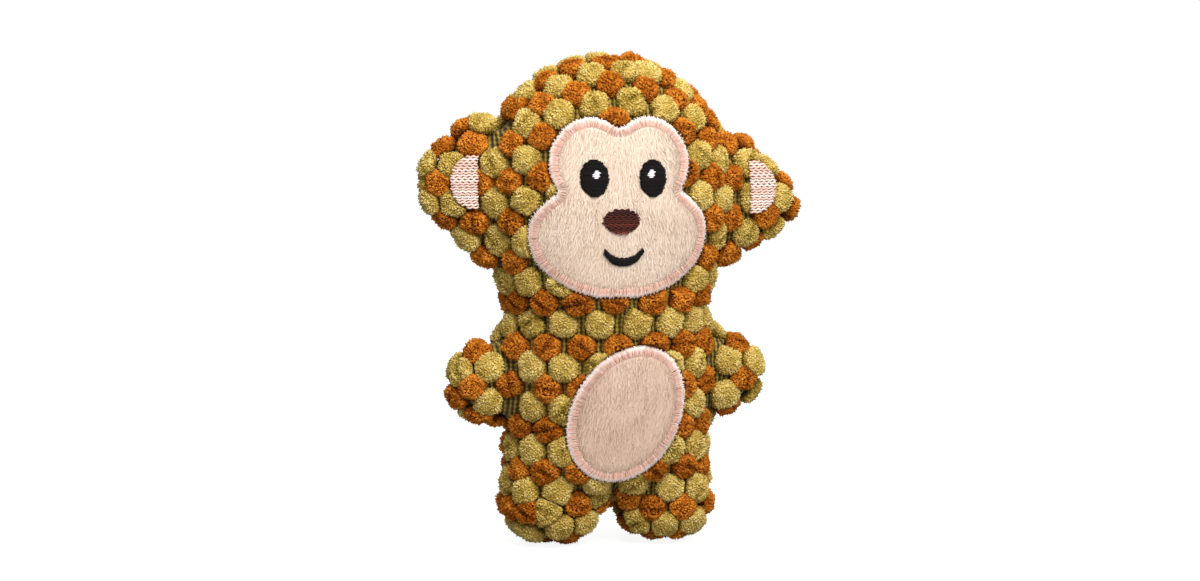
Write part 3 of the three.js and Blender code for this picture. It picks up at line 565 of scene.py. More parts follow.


# In the yarn ramps the darkest stops stand for painted shade at the roots of curls, in clefts and under the
# bobbles, and the palest for painted highlight on the curls' tips.
OLIVE = bobble_yarn("olive_curled_acrylic_pile", [
    (0.0, "#665215"), (0.3, "#9a7e2f"), (0.6, "#c8aa53"), (1, "#ead48a"),
])
ORANGE = bobble_yarn("orange_curled_acrylic_pile", [
    (0.0, "#240c00"), (0.3, "#6b3000"), (0.6, "#aa5c0c"), (1, "#df9030"),
])
# The knit's ramp is dark, and darkest in its furrows: painted shade, as the knit lies in the gaps under the
# bobbles.
KNIT = ribbed_knit("olive_ribbed_acrylic_knit", [
    (0.2, "#3d2e0a"), (0.55, "#6f5c1c"), (0.9, "#a8913f"),
], 0.75)
FACE_PLUSH = plush_pile("cream_polyester_plush", [
    (0.0, "#d2b29a"), (0.5, "#ead3be"), (1, "#f3e3d4"),
], 14)
BELLY_PLUSH = plush_pile("pale_pink_polyester_plush", [
    (0.0, "#be9882"), (0.5, "#dcbfa9"), (1, "#ecd5c3"),
], 14)
PINK = embroidery("pink_polyester_embroidery_thread", [
    (0.0, "#c38d79"), (0.5, "#dcae9b"), (1, "#fbede5"),
], 0.5)
EAR_PINK = embroidery("pale_pink_polyester_embroidery_thread", [
    (0.0, "#d0a594"), (0.5, "#e6c6b8"), (1, "#f3ddd3"),
], 0.55)
BLACK = embroidery("black_polyester_embroidery_thread", [
    (0.0, "#040303"), (0.6, "#0b0707"), (1, "#1a1313"),
], 0.75, 0.12)
BROWN = embroidery("brown_polyester_embroidery_thread", [
    (0.0, "#160604"), (0.35, "#35120a"), (0.7, "#5e2618"), (1, "#a2553d"),
], 0.55, 0.15)
WHITE = embroidery("white_polyester_embroidery_thread", [
    (0.0, "#cfc8d6"), (0.5, "#eeeaf3"), (1, "#ffffff"),
], 0.5)
SQUEAKER = moulded_plastic("white_moulded_polythene", "#f3f3ee", "#e2e1da")
REED = moulded_plastic("blue_moulded_polythene", "#3c66a8", "#345a96")

# ---------------- Outlines in the front view

FACE_X, FACE_HALF_WIDTH, FACE_TOP_Z, CHIN_Z = -0.6, 29.2, 139, 81.8
BORDER = 3.3  # width of the satin stitching round the patches


def even(points, count):
    """A closed smooth curve through points, as that many points evenly spaced."""
    closed = np.array(list(points) + list(points[:3]), float)
    fine = np.array([on_curve(closed, s) for s in np.linspace(0, len(points), 40 * len(points))])
    run = np.concatenate([[0], np.cumsum(np.linalg.norm(np.diff(fine, axis=0), axis=1))])
    at = np.linspace(0, run[-1], count + 1)[:-1]
    return np.stack([np.interp(at, run, fine[:, k]) for k in (0, 1)], axis=1)


def face_outline():
    """Two lobes over the eyes and a wide muzzle below them, even on both sides."""
    half = [
        (0.04, 0.945), (0.14, 0.975), (0.32, 1), (0.54, 0.965), (0.715, 0.87), (0.78, 0.755),
        (0.75, 0.655), (0.69, 0.59), (0.79, 0.545), (0.94, 0.46), (1, 0.37), (0.965, 0.25),
        (0.84, 0.15), (0.58, 0.055), (0.28, 0.005),
    ]
    around = half + [(0, 0)] + [(-x, z) for x, z in reversed(half)]
    tall = FACE_TOP_Z - CHIN_Z
    return even([(FACE_X + x * FACE_HALF_WIDTH, CHIN_Z + z * tall) for x, z in around], 96)


def oval(x, z, width, height, lean=0):
    """An ellipse, its top leaning towards +X by lean degrees."""
    turn = np.linspace(0, 2 * math.pi, 64, endpoint=False)
    across, up = width / 2 * np.sin(turn), height / 2 * np.cos(turn)
    c, s = math.cos(math.radians(lean)), math.sin(math.radians(lean))
    return np.stack([x + across * c + up * s, z + up * c - across * s], axis=1)


def moved_in(outline, distance):
    """An outline taken in evenly by a distance."""
    along = np.roll(outline, -1, axis=0) - np.roll(outline, 1, axis=0)
    along /= np.linalg.norm(along, axis=1, keepdims=True)
    inward = np.stack([along[:, 1], -along[:, 0]], axis=1)
    x, z = outline.T
    area = np.sum(x * np.roll(z, -1) - np.roll(x, -1) * z)
    return outline + inward * distance * (-1 if area > 0 else 1)


def outside_by(outline, places):
    """How far each (x, z) lies outside an outline; less than nothing inside it."""
    start, end = outline, np.roll(outline, -1, axis=0)
    edge = end - start
    away = places[:, None, :] - start[None]
    share = np.clip((away * edge).sum(2) / (edge ** 2).sum(1), 0, 1)
    gap = np.linalg.norm(away - share[..., None] * edge, axis=2).min(1)
    x, z = places[:, 0][:, None], places[:, 1][:, None]
    spans = (start[:, 1] > z) != (end[:, 1] > z)
    with np.errstate(divide="ignore", invalid="ignore"):
        crossing = start[:, 0] + (z - start[:, 1]) * edge[:, 0] / edge[:, 1]
    inside = (spans & (x < crossing)).sum(1) % 2 == 1
    return np.where(inside, -gap, gap)


FACE = face_outline()
BELLY = oval(2.2, 44.4, 36, 46.4, 32)
EAR_PATCH_WIDTH, EAR_PATCH_HALF_HEIGHT = 8.7, 8.5


def ear_patch(side, x, z):
    """The inner ear's outline: straight towards the head, round towards the ear's edge."""
    turn = np.linspace(-math.pi / 2, math.pi / 2, 25)
    return np.array([
        (
            x + side * EAR_PATCH_WIDTH * max(0, math.cos(t)) ** 0.8,
            z + EAR_PATCH_HALF_HEIGHT * math.sin(t),
        ) for t in turn
    ])


EAR_PATCHES = {"right": ear_patch(-1, -43.05, 117.7), "left": ear_patch(1, 45.65, 114.5)}

# ---------------- Bobbles

BOBBLE_PITCH = 12.3  # along a row
ROW_PITCH = 6.76
BOBBLE_HEIGHT = 4.6  # of the bunched dome; its curls stand above it
BOBBLE_FOOT = 1.4  # where the dome is widest
DOME_EDGE = math.radians(118)  # how far round the dome's underside goes
CURLS = 400
GOLDEN_ANGLE = 2.39996
KINDS = 9  # of bobble in each colour


def shaded_form():
    """A new bmesh whose vertices carry the two values that pile and thread are coloured by: the painted
    shade and highlight "tip", and the random "tone".
    """
    form = bmesh.new()
    form.verts.layers.float.new("tip")
    form.verts.layers.float.new("tone")
    return form


def set_tone(mesh, tone):
    mesh.attributes["tone"].data.foreach_set("value", [tone] * len(mesh.vertices))


def curl(width, length):
    """One short curl of the yarn, a spindle along Z."""
    form = shaded_form()
    shape = Matrix.Diagonal((width, width, length, 1))
    bmesh.ops.create_uvsphere(form, u_segments=4, v_segments=2, radius=1, matrix=shape)
    tip = form.verts.layers.float["tip"]
    for v in form.verts:
        # Painted shade towards the curl's root, painted highlight towards its tip.
        v[tip] = 0.15 * v.co.z / length
    return as_mesh("curl", form)


def bobble(seed, radius, squareness, lump, cleft, width, wild, depth):
    """One bobble of pile on the backing at z = 0: a bunched dome set all over with curls of
    yarn, with width as half their thickness, that stand depth out of it. Some have a cleft."""
    chance = np.random.default_rng(seed)
    shift = Vector(chance.uniform(-50, 50, 3))
    cleft_turn = chance.uniform(0, math.pi)
    high = BOBBLE_HEIGHT - BOBBLE_FOOT

    def dome(lean, turn):
        """A place on the dome, the way out there, and the painted shade there: darker in the hollows between
        lumps, in the cleft and where the dome turns under.
        """
        bulge = abs(math.cos(turn)) ** squareness + abs(math.sin(turn)) ** squareness
        waist = max(0, math.sin(lean)) ** (0.88 if lean < math.pi / 2 else 1)
        flat = radius * bulge ** (-1 / squareness) * waist
        place = Vector((math.cos(turn) * flat, math.sin(turn) * flat, math.cos(lean) * high))
        out = Vector((place.x / radius ** 2, place.y / radius ** 2, place.z / high ** 2))
        out.normalize()
        lumps = noise.noise((place + shift) / 2.6)
        from_cleft = place.x * math.sin(cleft_turn) - place.y * math.cos(cleft_turn)
        split = cleft * math.exp(-(from_cleft / 0.8) ** 2)
        rise = lump * lumps - split * max(0, out.z)
        # Painted shade: lighter on the lumps, darker in the cleft and on the parts that face down.
        light = 0.3 * lumps - 0.4 * split - 0.45 * max(0, 0.55 - out.z)
        return place + rise * out + Vector((0, 0, BOBBLE_FOOT)), out, light

    form = shaded_form()
    bmesh.ops.create_grid(form, x_segments=8, y_segments=8, size=1)
    tip = form.verts.layers.float["tip"]
    for v in form.verts:
        across = v.co.x * math.sqrt(1 - v.co.y ** 2 / 2)
        up = v.co.y * math.sqrt(1 - v.co.x ** 2 / 2)
        place, out, light = dome(math.hypot(across, up) * DOME_EDGE, math.atan2(up, across))
        v.co = place - depth * out
        # The dome under the curls takes that painted shade, and is painted darker still by depth, as shade
        # among the curls' roots.
        v[tip] = light + 0.4 - depth
    bmesh.ops.edgeloop_fill(form, edges=[e for e in form.edges if e.is_boundary])
    bmesh.ops.recalc_face_normals(form, faces=form.faces)
    grain = curl(width, 2.3 * width)
    for k in range(CURLS):
        lean = math.acos(1 - 1.4 * (k + 0.5) / CURLS) + chance.normal(0, 0.05)
        place, out, light = dome(abs(lean), GOLDEN_ANGLE * k + chance.normal(0, 0.05))
        way = (out + Vector(chance.normal(0, wild, 3))).normalized()
        size = Matrix.Scale(chance.uniform(0.7, 1.3), 4)
        turn = way.to_track_quat("Z", "X").to_matrix().to_4x4()
        shape = grain.copy()
        shape.transform(Matrix.Translation(place - 0.5 * width * out) @ turn @ size)
        tips = np.empty(len(shape.vertices), np.float32)
        shape.attributes["tip"].data.foreach_get("value", tips)
        # Each curl takes the painted shade of the dome where it stands.
        tips = tips + 0.5 + light + chance.normal(0, 0.08)
        shape.attributes["tip"].data.foreach_set("value", tips)
        stamp(form, shape)
    return as_mesh("bobble", form)


# Seed, radius, squareness, lumps, cleft, a curl's half width, its wildness and its depth
BOBBLES = {
    "olive": [
        bobble(k, 4.6, 3 + 0.15 * k, 0.4, (0, 0, 0.8)[k % 3], 0.36, 0.7, 0.1)
        for k in range(KINDS)
    ],
    "orange": [
        bobble(40 + k, 4.4, 2 + 0.08 * k, 0.8, (0, 0.8, 0)[k % 3], 0.42, 0.9, 0.25)
        for k in range(KINDS)
    ],
}
YARN = {"olive": OLIVE, "orange": ORANGE}
PRESSED = [FACE, BELLY, *EAR_PATCHES.values()]  # outlines of what is sewn over the bobbles

# Rows over the head: how far along the fabric from the crown, and where it meets the seams
SEAM_RUNS, SEAM_HEIGHTS = (0, 13, 27, 93), (155.5, 148, 137.3, 78.5)
CROWN_Z, NAPE_Z = 159.3, 80.4
TORSO_TOP_ROW_Z, TORSO_ROWS = 79.8, 11
# First row's distance from the crown, number of rows, colours in turn
FRONT_ROWS = (5.5, 13, ("orange", "olive"))
BACK_ROWS = (1.4, 14, ("olive", "orange"))
HEAD_SHIFT, TORSO_SHIFT = -2, -0.6  # of a row's first bobble from the middle

TOP_LIFT = 3.5  # from a bobble's foot to about its top
MIDDLE_LIFT = 2.2
SAME_ROOM, OTHER_ROOM = 8.6, 7  # between tops of one colour, and of two
BARE_GAP = 7.1  # from the nearest top: a spot so far away gets a bobble of its own
HIDDEN = 2.4  # a foot so far inside a patch gets no bobble
PATCH_ROOM = 1.5  # how near a patch no bobble is added


def under_patch(places):
    """How far each place on the front lies outside the nearest patch; less than nothing in it."""
    gaps = np.min([outside_by(outline, places[:, [0, 2]]) for outline in PRESSED], axis=0)
    return np.where(places[:, 1] < 0, gaps, 99)


def outside_from(turn, z):
    """The toy's outside at a height, seen at an angle from the front, or None."""
    away = Vector((math.sin(turn), -math.cos(turn), 0))
    return OUTER.ray_cast(Vector((0, 0, z)) + 200 * away, -away)[0]


def panel_rows(facing, first, count, colours):
    """(height in its middle, height at the side seams, colour) of each row of bobbles on the
    front or back panel: evenly along the fabric from the crown to the neck, where rows arch
    over the head, then evenly and level down to the soles."""
    middle, last, run = [], None, 0
    for z in np.linspace(CROWN_Z, NAPE_Z, 500):
        here = outside_from(facing, z)
        run += (here - last).length if last else abs(here.y)
        last = here
        middle.append((run, z))
    runs, heights = zip(*middle)
    rows = [
        (np.interp(s, runs, heights), np.interp(s, SEAM_RUNS, SEAM_HEIGHTS))
        for s in np.linspace(first, runs[-1], count)
    ]
    rows += [(TORSO_TOP_ROW_Z - ROW_PITCH * k,) * 2 for k in range(1, TORSO_ROWS + 1)]
    return [(z, seam, colours[k % 2]) for k, (z, seam) in enumerate(rows)]


def smooth_out(place):
    """The way out of the skin, taken over a bobble's width."""
    total = Vector()
    for _, out, _, gap in SKIN.find_nearest_range(place, 4):
        total += out * (4.5 - gap)
    return total.normalized()


def spots_in_rows():
    """(how far round, place, colour) of a bobble at each pitch along each row, out both ways
    from the middle. The pitch is measured on the outside of the pile."""
    found = []
    rows = [(0, row) for row in panel_rows(0, *FRONT_ROWS)]
    rows += [(math.pi, row) for row in panel_rows(math.pi, *BACK_ROWS)]
    for facing, (z, seam, colour) in rows:
        shift = HEAD_SHIFT if z > 80 else TORSO_SHIFT
        first = 0 if colour == "orange" else BOBBLE_PITCH / 2
        for way in (-1, 1):
            run, last = 0, None
            next_run = first + way * shift
            if next_run < (0 if way > 0 else 0.01):
                next_run += BOBBLE_PITCH
            for turn in np.radians(np.arange(0, 91, 0.5)):
                height = z + (seam - z) * math.sin(turn) ** 2
                here = outside_from(facing + way * turn, height)
                if here is None:
                    continue
                run += (here - last).length if last else 0
                last = here
                if run >= next_run:
                    found.append((facing + turn, SKIN.find_nearest(here)[0], colour))
                    next_run += BOBBLE_PITCH
    return sorted(found, key=lambda one: one[0])


def bobble_places():
    """Where the bobbles sit on the skin: (place, way out, colour). A spot that the rows leave
    bare gets one more bobble."""
    kept, tops = [], np.full((1, 3), 999.0)
    for _, place, colour in spots_in_rows():
        out = smooth_out(place)
        top = np.array(place + TOP_LIFT * out)
        if under_patch(np.array([place]))[0] < -HIDDEN:
            continue
        room = [SAME_ROOM if colour == other else OTHER_ROOM for _, _, other in kept]
        if (np.linalg.norm(tops[1:] - top, axis=1) > room).all():
            kept.append((place, out, colour))
            tops = np.vstack([tops, top])
    spots = np.array([v.co + TOP_LIFT * v.normal for v in skin_form.verts])
    feet = [v.co.copy() for v in skin_form.verts]
    gaps = np.min([np.linalg.norm(spots - top, axis=1) for top in tops], axis=0)
    gaps[under_patch(np.array(feet)) < PATCH_ROOM] = 0
    while gaps.max() > BARE_GAP:
        barest = int(gaps.argmax())
        place = feet[barest]
        gap_to = {
            colour: min((at - place).length for at, _, other in kept if other == colour)
            for colour in YARN
        }
        kept.append((place, smooth_out(place), max(gap_to, key=gap_to.get)))
        gaps = np.minimum(gaps, np.linalg.norm(spots - spots[barest], axis=1))
    return kept


PRESSED_DEPTH = 3.1  # below the toy's outside


def pressed_under_patches(places):
    """Pile under the sewn patches is pressed flat: nothing of it rises through them."""
    for outline in PRESSED:
        low, high = outline.min(0) - 2, outline.max(0) + 2
        seen = places[:, [0, 2]]
        near = (places[:, 1] < 2) & (seen > low).all(1) & (seen < high).all(1)
        if not near.any():
            continue
        chosen = np.nonzero(near)[0]
        gap = outside_by(outline, seen[chosen])
        depth = PRESSED_DEPTH * np.clip((0.9 - gap) / 1.2, 0, 1)
        for index, sink in zip(chosen, depth):
            if sink > 0:
                x, y, z = places[index]
                places[index, 1] = max(y, front_y(x, z) + sink)


NEIGHBOUR_REACH = 13
YIELDS = {"same": 0.5, "orange": 0.35, "olive": -0.15}  # before halfway to the neighbour
PRESSING = 0.75  # of what stands over that is pressed back


def press_on_neighbours(places, index, spots, tree):
    """Flattens a bobble where it meets each neighbour, as bunched pile does. Orange ones yield
    to olive ones, which bulge over them a little."""
    place, out, colour = spots[index]
    middle = place + MIDDLE_LIFT * out
    for other, neighbour, gap in tree.find_range(middle, NEIGHBOUR_REACH):
        if neighbour == index or gap < 1:
            continue
        way = np.array((other - middle) / gap)
        yields = YIELDS["same" if spots[neighbour][2] == colour else colour]
        over = (places - np.array(middle)) @ way - (gap / 2 - yields)
        places -= np.maximum(over, 0)[:, None] * PRESSING * way


PROPORTIONS = {"olive": (0.98, 1.03), "orange": (1.03, 0.97)}  # along the row and across it
SUNK = 0.4  # how deep a bobble's foot sits in the knit
FLOOR_GAP = 0.05


def grow_bobbles():
    chance = np.random.default_rng(11)
    spots = bobble_places()
    tree = KDTree(len(spots))
    for index, (place, out, _) in enumerate(spots):
        tree.insert(place + MIDDLE_LIFT * out, index)
    tree.balance()
    forms = defaultdict(shaded_form)
    for index, (place, out, colour) in enumerate(spots):
        along = Vector((0, 0, 1)).cross(out)
        along = along.normalized() if along.length > 0.2 else Vector((1, 0, 0))
        size = chance.uniform(0.93, 1.07)
        turn = chance.choice([0, 0.5, 1, 1.5]) * math.pi + chance.normal(0, 0.12)
        wide, tall = PROPORTIONS[colour]
        squash = Matrix.Diagonal((
            size * wide, size * tall * chance.uniform(0.94, 1.02), chance.uniform(0.92, 1.06), 1,
        ))
        shape = BOBBLES[colour][chance.integers(KINDS)].copy()
        shape.transform(
            standing_at(place - SUNK * out, along, out) @ squash @ Matrix.Rotation(turn, 4, "Z")
        )
        places = positions(shape)
        press_on_neighbours(places, index, spots, tree)
        pressed_under_patches(places)
        places[:, 2] = np.maximum(places[:, 2], FLOOR_GAP)
        set_positions(shape, places)
        set_tone(shape, chance.uniform(0, 1))
        body = body_at(place)
        half = "front" if place.y < 0 else "back"
        if body == "head":  # two pieces a side, as one would have too many triangles
            half = ("right_" if place.x < 0 else "left_") + half
        stamp(forms[body, half, colour], shape)
    for (body, half, colour), form in sorted(forms.items()):
        finished(f"{body}_{half}_{colour}_bobbles", form, YARN[colour], body)


grow_bobbles()

# ---------------- Knitted backing, body by body

def sew_backing():
    for body in BODIES:
        part = skin_form.copy()
        others = [f for f in part.faces if body_at(f.calc_center_median()) != body]
        bmesh.ops.delete(part, geom=others, context="FACES")
        rim = [e for e in part.edges if e.is_boundary]
        bmesh.ops.holes_fill(part, edges=rim, sides=0)
        bmesh.ops.recalc_face_normals(part, faces=part.faces)
        halves = ("_front", "_back")
        nodes = [body + half + "_panel" for half in halves]
        nodes += [body + half + "_filling" for half in (halves if body == "torso" else [""])]
        piece = finished(body + "_knit", part, KNIT, body, stands_for=nodes)


sew_backing()

# ---------------- Threads and plush

def tube(points, radii, sides=5):
    """A closed thread through points, as thick as radii say."""
    form = shaded_form()
    points = [Vector(p) for p in points]
    aim = (points[1] - points[0]).normalized()
    place = Matrix.Translation(points[0]) @ aim.to_track_quat("Z", "X").to_matrix().to_4x4()
    bmesh.ops.create_circle(form, cap_ends=True, segments=sides, radius=radii[0], matrix=place)
    end = list(form.faces)
    for k in range(1, len(points)):
        grown = bmesh.ops.extrude_face_region(form, geom=end)["geom"]
        if k > 1:
            bmesh.ops.delete(form, geom=end, context="FACES_ONLY")
        rim = [g for g in grown if isinstance(g, bmesh.types.BMVert)]
        end = [g for g in grown if isinstance(g, bmesh.types.BMFace)]
        before = (points[k] - points[k - 1]).normalized()
        after = points[min(k + 1, len(points) - 1)] - points[k]
        after = after.normalized() if after.length > 1e-6 else before
        way = (before + after).normalized()
        turn = aim.rotation_difference(way).to_matrix().to_4x4()
        grow = Matrix.Scale(radii[k] / radii[k - 1], 4)
        here, back = Matrix.Translation(points[k]), Matrix.Translation(-points[k - 1])
        bmesh.ops.transform(form, verts=rim, matrix=here @ turn @ grow @ back)
        aim = way
    bmesh.ops.recalc_face_normals(form, faces=form.faces)
    return form


def shade(form, shade_name, value):
    layer = form.verts.layers.float[shade_name]
    for v in form.verts:
        v[layer] = value


def put(whole, part, tone):
    """Adds a small closed shape to a piece, in a tone of its own."""
    shade(part, "tone", tone)
    stamp(whole, as_mesh("part", part))


def ring_out(form, edges, numbers):
    """Extrudes a ring of edges. Returns its new edges, and its new vertices with the numbers of
    those that they came from."""
    grown = bmesh.ops.extrude_edge_only(form, edges=edges)["geom"]
    fresh = [g for g in grown if isinstance(g, bmesh.types.BMVert)]
    edges = [g for g in grown if isinstance(g, bmesh.types.BMEdge)]
    pairs = ((v, e.other_vert(v)) for v in fresh for e in v.link_edges)
    return edges, {v: numbers[old] for v, old in pairs if old in numbers}


def cushion(outline, lifts):
    """A soft pad with that outline on the front of the toy. lifts is a list of (how far in from
    the outline, lift off the toy's outside), from its underside round its edge to its middle."""
    form = shaded_form()
    rim = bmesh.ops.create_circle(form, cap_ends=False, segments=len(outline), radius=1)["verts"]
    edges = list(form.edges)
    numbers = {v: k for k, v in enumerate(rim)}
    centre = outline.mean(0)
    inner = moved_in(outline, BORDER)
    for step, (inset, lift) in enumerate(lifts):
        if step:
            edges, numbers = ring_out(form, edges, numbers)
        if inset < BORDER + 1:
            ring = moved_in(outline, inset)
        else:
            ring = centre + (inner - centre) * (1 - (inset - BORDER) / CUSHION_REACH)
        for v, k in numbers.items():
            v.co = on_front(*ring[k], lift)[0]
    loose = [e for e in form.edges if e.is_boundary]
    bmesh.ops.holes_fill(form, edges=loose, sides=0)
    bmesh.ops.recalc_face_normals(form, faces=form.faces)
    return form


def fibre(width, length, seed):
    """A brushed fibre: it comes out of the cloth and lies over it along +X."""
    chance = np.random.default_rng(seed)
    form = shaded_form()
    tip = form.verts.layers.float["tip"]
    bmesh.ops.create_cone(
        form, cap_ends=True, segments=3, radius1=width, radius2=0, depth=1,
        matrix=Matrix.Translation((0, 0, 0.5)),
    )
    bmesh.ops.remove_doubles(form, verts=form.verts, dist=1e-4)
    bmesh.ops.bisect_plane(
        form, geom=[*form.verts, *form.edges, *form.faces], plane_co=(0, 0, 0.45),
        plane_no=(0, 0, 1),
    )
    sway = chance.uniform(-0.3, 0.3)
    for v in form.verts:
        share = v.co.z
        # Painted shade at the fibre's root, lighter towards its tip.
        v[tip] = share
        rise = FIBRE_RISE * math.sin(share * 2.9) - share - 0.1
        v.co += Vector((length * share, sway * share, rise))
    bmesh.ops.triangulate(form, faces=form.faces)
    return as_mesh("fibre", form)


CUSHION_REACH = 20  # from the border to past the middle of a patch
# A patch's edge and middle: how far in, and lift off the toy's outside
PATCH_EDGE = [(0.6, -3.4), (0.1, -2.6), (0.1, -1.9), (1.2, -1.7), (2.6, -1.45), (BORDER, -1.12)]
PATCH_MIDDLE = [(BORDER + 0.8, -1.05)]
PATCH_MIDDLE += [(BORDER + k, -1.0) for k in (2.5, 5, 8, 11, 14, 17, 19.2)]
FIBRE_WIDTH, FIBRE_LENGTH, FIBRE_RISE = 0.1, 2.4, 0.24
FIBRE_SPACING = 0.5  # coarser than real plush, so that it shows
STREAK_WIDTH, STREAK_LENGTH = 0.9, 4


def sew_patch(name, outline, material, body, node, comb, skip):
    """A plush patch, its pile combed, flattened at the edge where the border is stitched."""
    whole = shaded_form()
    pad = cushion(outline, PATCH_EDGE + PATCH_MIDDLE)
    # The cushion under the fibres takes a middling painted shade.
    shade(pad, "tip", 0.5)
    put(whole, pad, 0.5)
    inner = moved_in(outline, BORDER - 0.9)
    chance = np.random.default_rng(len(name))
    across, up = (np.arange(*ends, FIBRE_SPACING) for ends in zip(inner.min(0), inner.max(0)))
    grid = np.array([(x, z) for x in across for z in up])
    grid += chance.uniform(-0.5, 0.5, grid.shape) * FIBRE_SPACING
    grid = grid[outside_by(inner, grid) < 0]
    for hole in skip:
        grid = grid[outside_by(hole, grid) > 0.15]
    fibres = [fibre(FIBRE_WIDTH, FIBRE_LENGTH, seed) for seed in range(6)]
    for x, z in grid:
        place, out = on_front(x, z, -1.05)
        way = comb(x, z)
        c, s = math.cos(way), math.sin(way)
        along = Vector((c, 0, s))
        along = (along - out * along.dot(out)).normalized()
        streak = noise.noise(Vector((
            (x * s - z * c) / STREAK_WIDTH, (x * c + z * s) / STREAK_LENGTH, 7,
        )))
        shape = fibres[chance.integers(6)].copy()
        size = Matrix.Diagonal((
            chance.uniform(0.8, 1.2), 1, chance.uniform(0.8, 1.1) + 0.4 * streak, 1,
        ))
        shape.transform(standing_at(place, along, out) @ size)
        set_tone(shape, 0.5 + 0.4 * streak + chance.normal(0, 0.15))
        stamp(whole, shape)
    piece = finished(name, whole, material, body, stands_for=[node])


SATIN_PITCH = 0.27  # between threads
# Along a thread, from its outer end: how far in, lift, half thickness. The first two insets
# count from where the stitch starts.
SATIN_PATH = (
    (0, -2.0, 0.1), (0.3, -1.25, 0.15), (0.9, -0.95, 0.16), (1.75, -0.9, 0.16),
    (2.6, -1.02, 0.16), (3.15, -1.25, 0.15), (3.35, -1.9, 0.12),
)
PAINTED_HIGHLIGHT_REACH = 1.4  # how far in from its outer bend a thread carries a painted highlight


def satin_border(name, outline, body, node, seed):
    """Satin stitching round a patch: arched threads side by side across its edge."""
    closed = np.vstack([outline, outline[:1]])
    count = int(np.linalg.norm(np.diff(closed, axis=0), axis=1).sum() / SATIN_PITCH)
    fine = even(outline, count)
    along = np.roll(fine, -1, axis=0) - np.roll(fine, 1, axis=0)
    along /= np.linalg.norm(along, axis=1, keepdims=True)
    inward = moved_in(fine, 1) - fine
    chance = np.random.default_rng(seed)
    whole = shaded_form()
    for k in range(count):
        start = chance.uniform(-0.45, 0.1) if k % 5 else chance.uniform(-0.8, -0.3)
        lean = chance.normal(0, 0.05)
        path = []
        for step, (inset, lift, _) in enumerate(SATIN_PATH):
            inset += start if step < 2 else 0
            x, z = fine[k] + inward[k] * inset + along[k] * lean * inset
            path.append(on_front(x, z, lift + chance.normal(0, 0.015))[0])
        thread = tube(path, [radius for _, _, radius in SATIN_PATH], 4)
        # Painted highlight where the thread turns over the patch's edge.
        tip = thread.verts.layers.float["tip"]
        for v in thread.verts:
            v[tip] = max(0, 1 - (v.co - path[1]).length / PAINTED_HIGHLIGHT_REACH)
        put(whole, thread, chance.uniform(0.35, 0.65))
    finished(name, whole, PINK, body, stands_for=[node])


def comb_face(x, z):
    """The pile of the face lies downwards, fanning out, with a slow swirl."""
    swirl = noise.noise(Vector((x / 9, z / 9, 0)))
    return -math.pi / 2 + 0.5 * x / FACE_HALF_WIDTH + 0.5 * swirl


def comb_belly(x, z):
    return -math.pi / 2 - 0.15 + 0.55 * noise.noise(Vector((x / 7, z / 7, 5)))


NOSE_X, NOSE_Z, NOSE_WIDTH, NOSE_HEIGHT = -0.8, 106.2, 11.8, 8
MOUTH_HALF_WIDTH = 6.2


def nose_outline():
    """An oval, narrower towards its foot."""
    outline = oval(0, NOSE_Z, NOSE_WIDTH, NOSE_HEIGHT)
    low = np.maximum(0, (NOSE_Z - outline[:, 1]) / (NOSE_HEIGHT / 2))
    return np.stack([NOSE_X + outline[:, 0] * (1 - 0.22 * low ** 2), outline[:, 1]], axis=1)


def mouth_outline():
    """A smile between two arcs, thinnest at its corners."""
    across = np.linspace(-1, 1, 25)
    arcs = [
        np.stack([across * MOUTH_HALF_WIDTH, low + rise * across ** 2], axis=1)
        for low, rise in ((91.7, 4.6), (93.6, 3.3))
    ]
    return np.vstack([arcs[0], arcs[1][::-1]])


EYES = {"right": oval(-9.4, 119.9, 8.8, 11.7), "left": oval(9.5, 119.6, 8.6, 11.7)}
NOSE = nose_outline()
FEATURES = [*EYES.values(), NOSE, mouth_outline()]

sew_patch("face_plush", FACE, FACE_PLUSH, "head", "face_patch", comb_face, FEATURES)
sew_patch("belly_plush", BELLY, BELLY_PLUSH, "torso", "belly_patch", comb_belly, [])
satin_border("face_border_threads", FACE, "head", "face_border_stitch", 3)
satin_border("belly_border_threads", BELLY, "torso", "belly_border_stitch", 4)


def row_span(outline, z):
    """Where a level line enters and leaves an outline."""
    start, end = outline, np.roll(outline, -1, axis=0)
    crosses = (start[:, 1] > z) != (end[:, 1] > z)
    if crosses.sum() < 2:
        return None
    share = (z - start[crosses, 1]) / (end[crosses, 1] - start[crosses, 1])
    x = start[crosses, 0] + share * (end[crosses, 0] - start[crosses, 0])
    return x.min(), x.max()


def thread_pad(outline, lift):
    """A thin closed pad under stitching."""
    form = shaded_form()
    rim = bmesh.ops.create_circle(form, cap_ends=False, segments=len(outline), radius=1)["verts"]
    inner = outline.mean(0) + (outline - outline.mean(0)) * 0.93
    for v, (x, z) in zip(rim, inner):
        v.co = (x, 0, z)
    face = bmesh.ops.contextual_create(form, geom=list(form.edges))["faces"]
    solid = bmesh.ops.extrude_face_region(form, geom=face)["geom"]
    front = {g for g in solid if isinstance(g, bmesh.types.BMVert)}
    for v in form.verts:
        v.co = on_front(v.co.x, v.co.z, lift if v in front else lift - 1.2)[0]
    bmesh.ops.triangulate(form, faces=form.faces)
    bmesh.ops.recalc_face_normals(form, faces=form.faces)
    return form


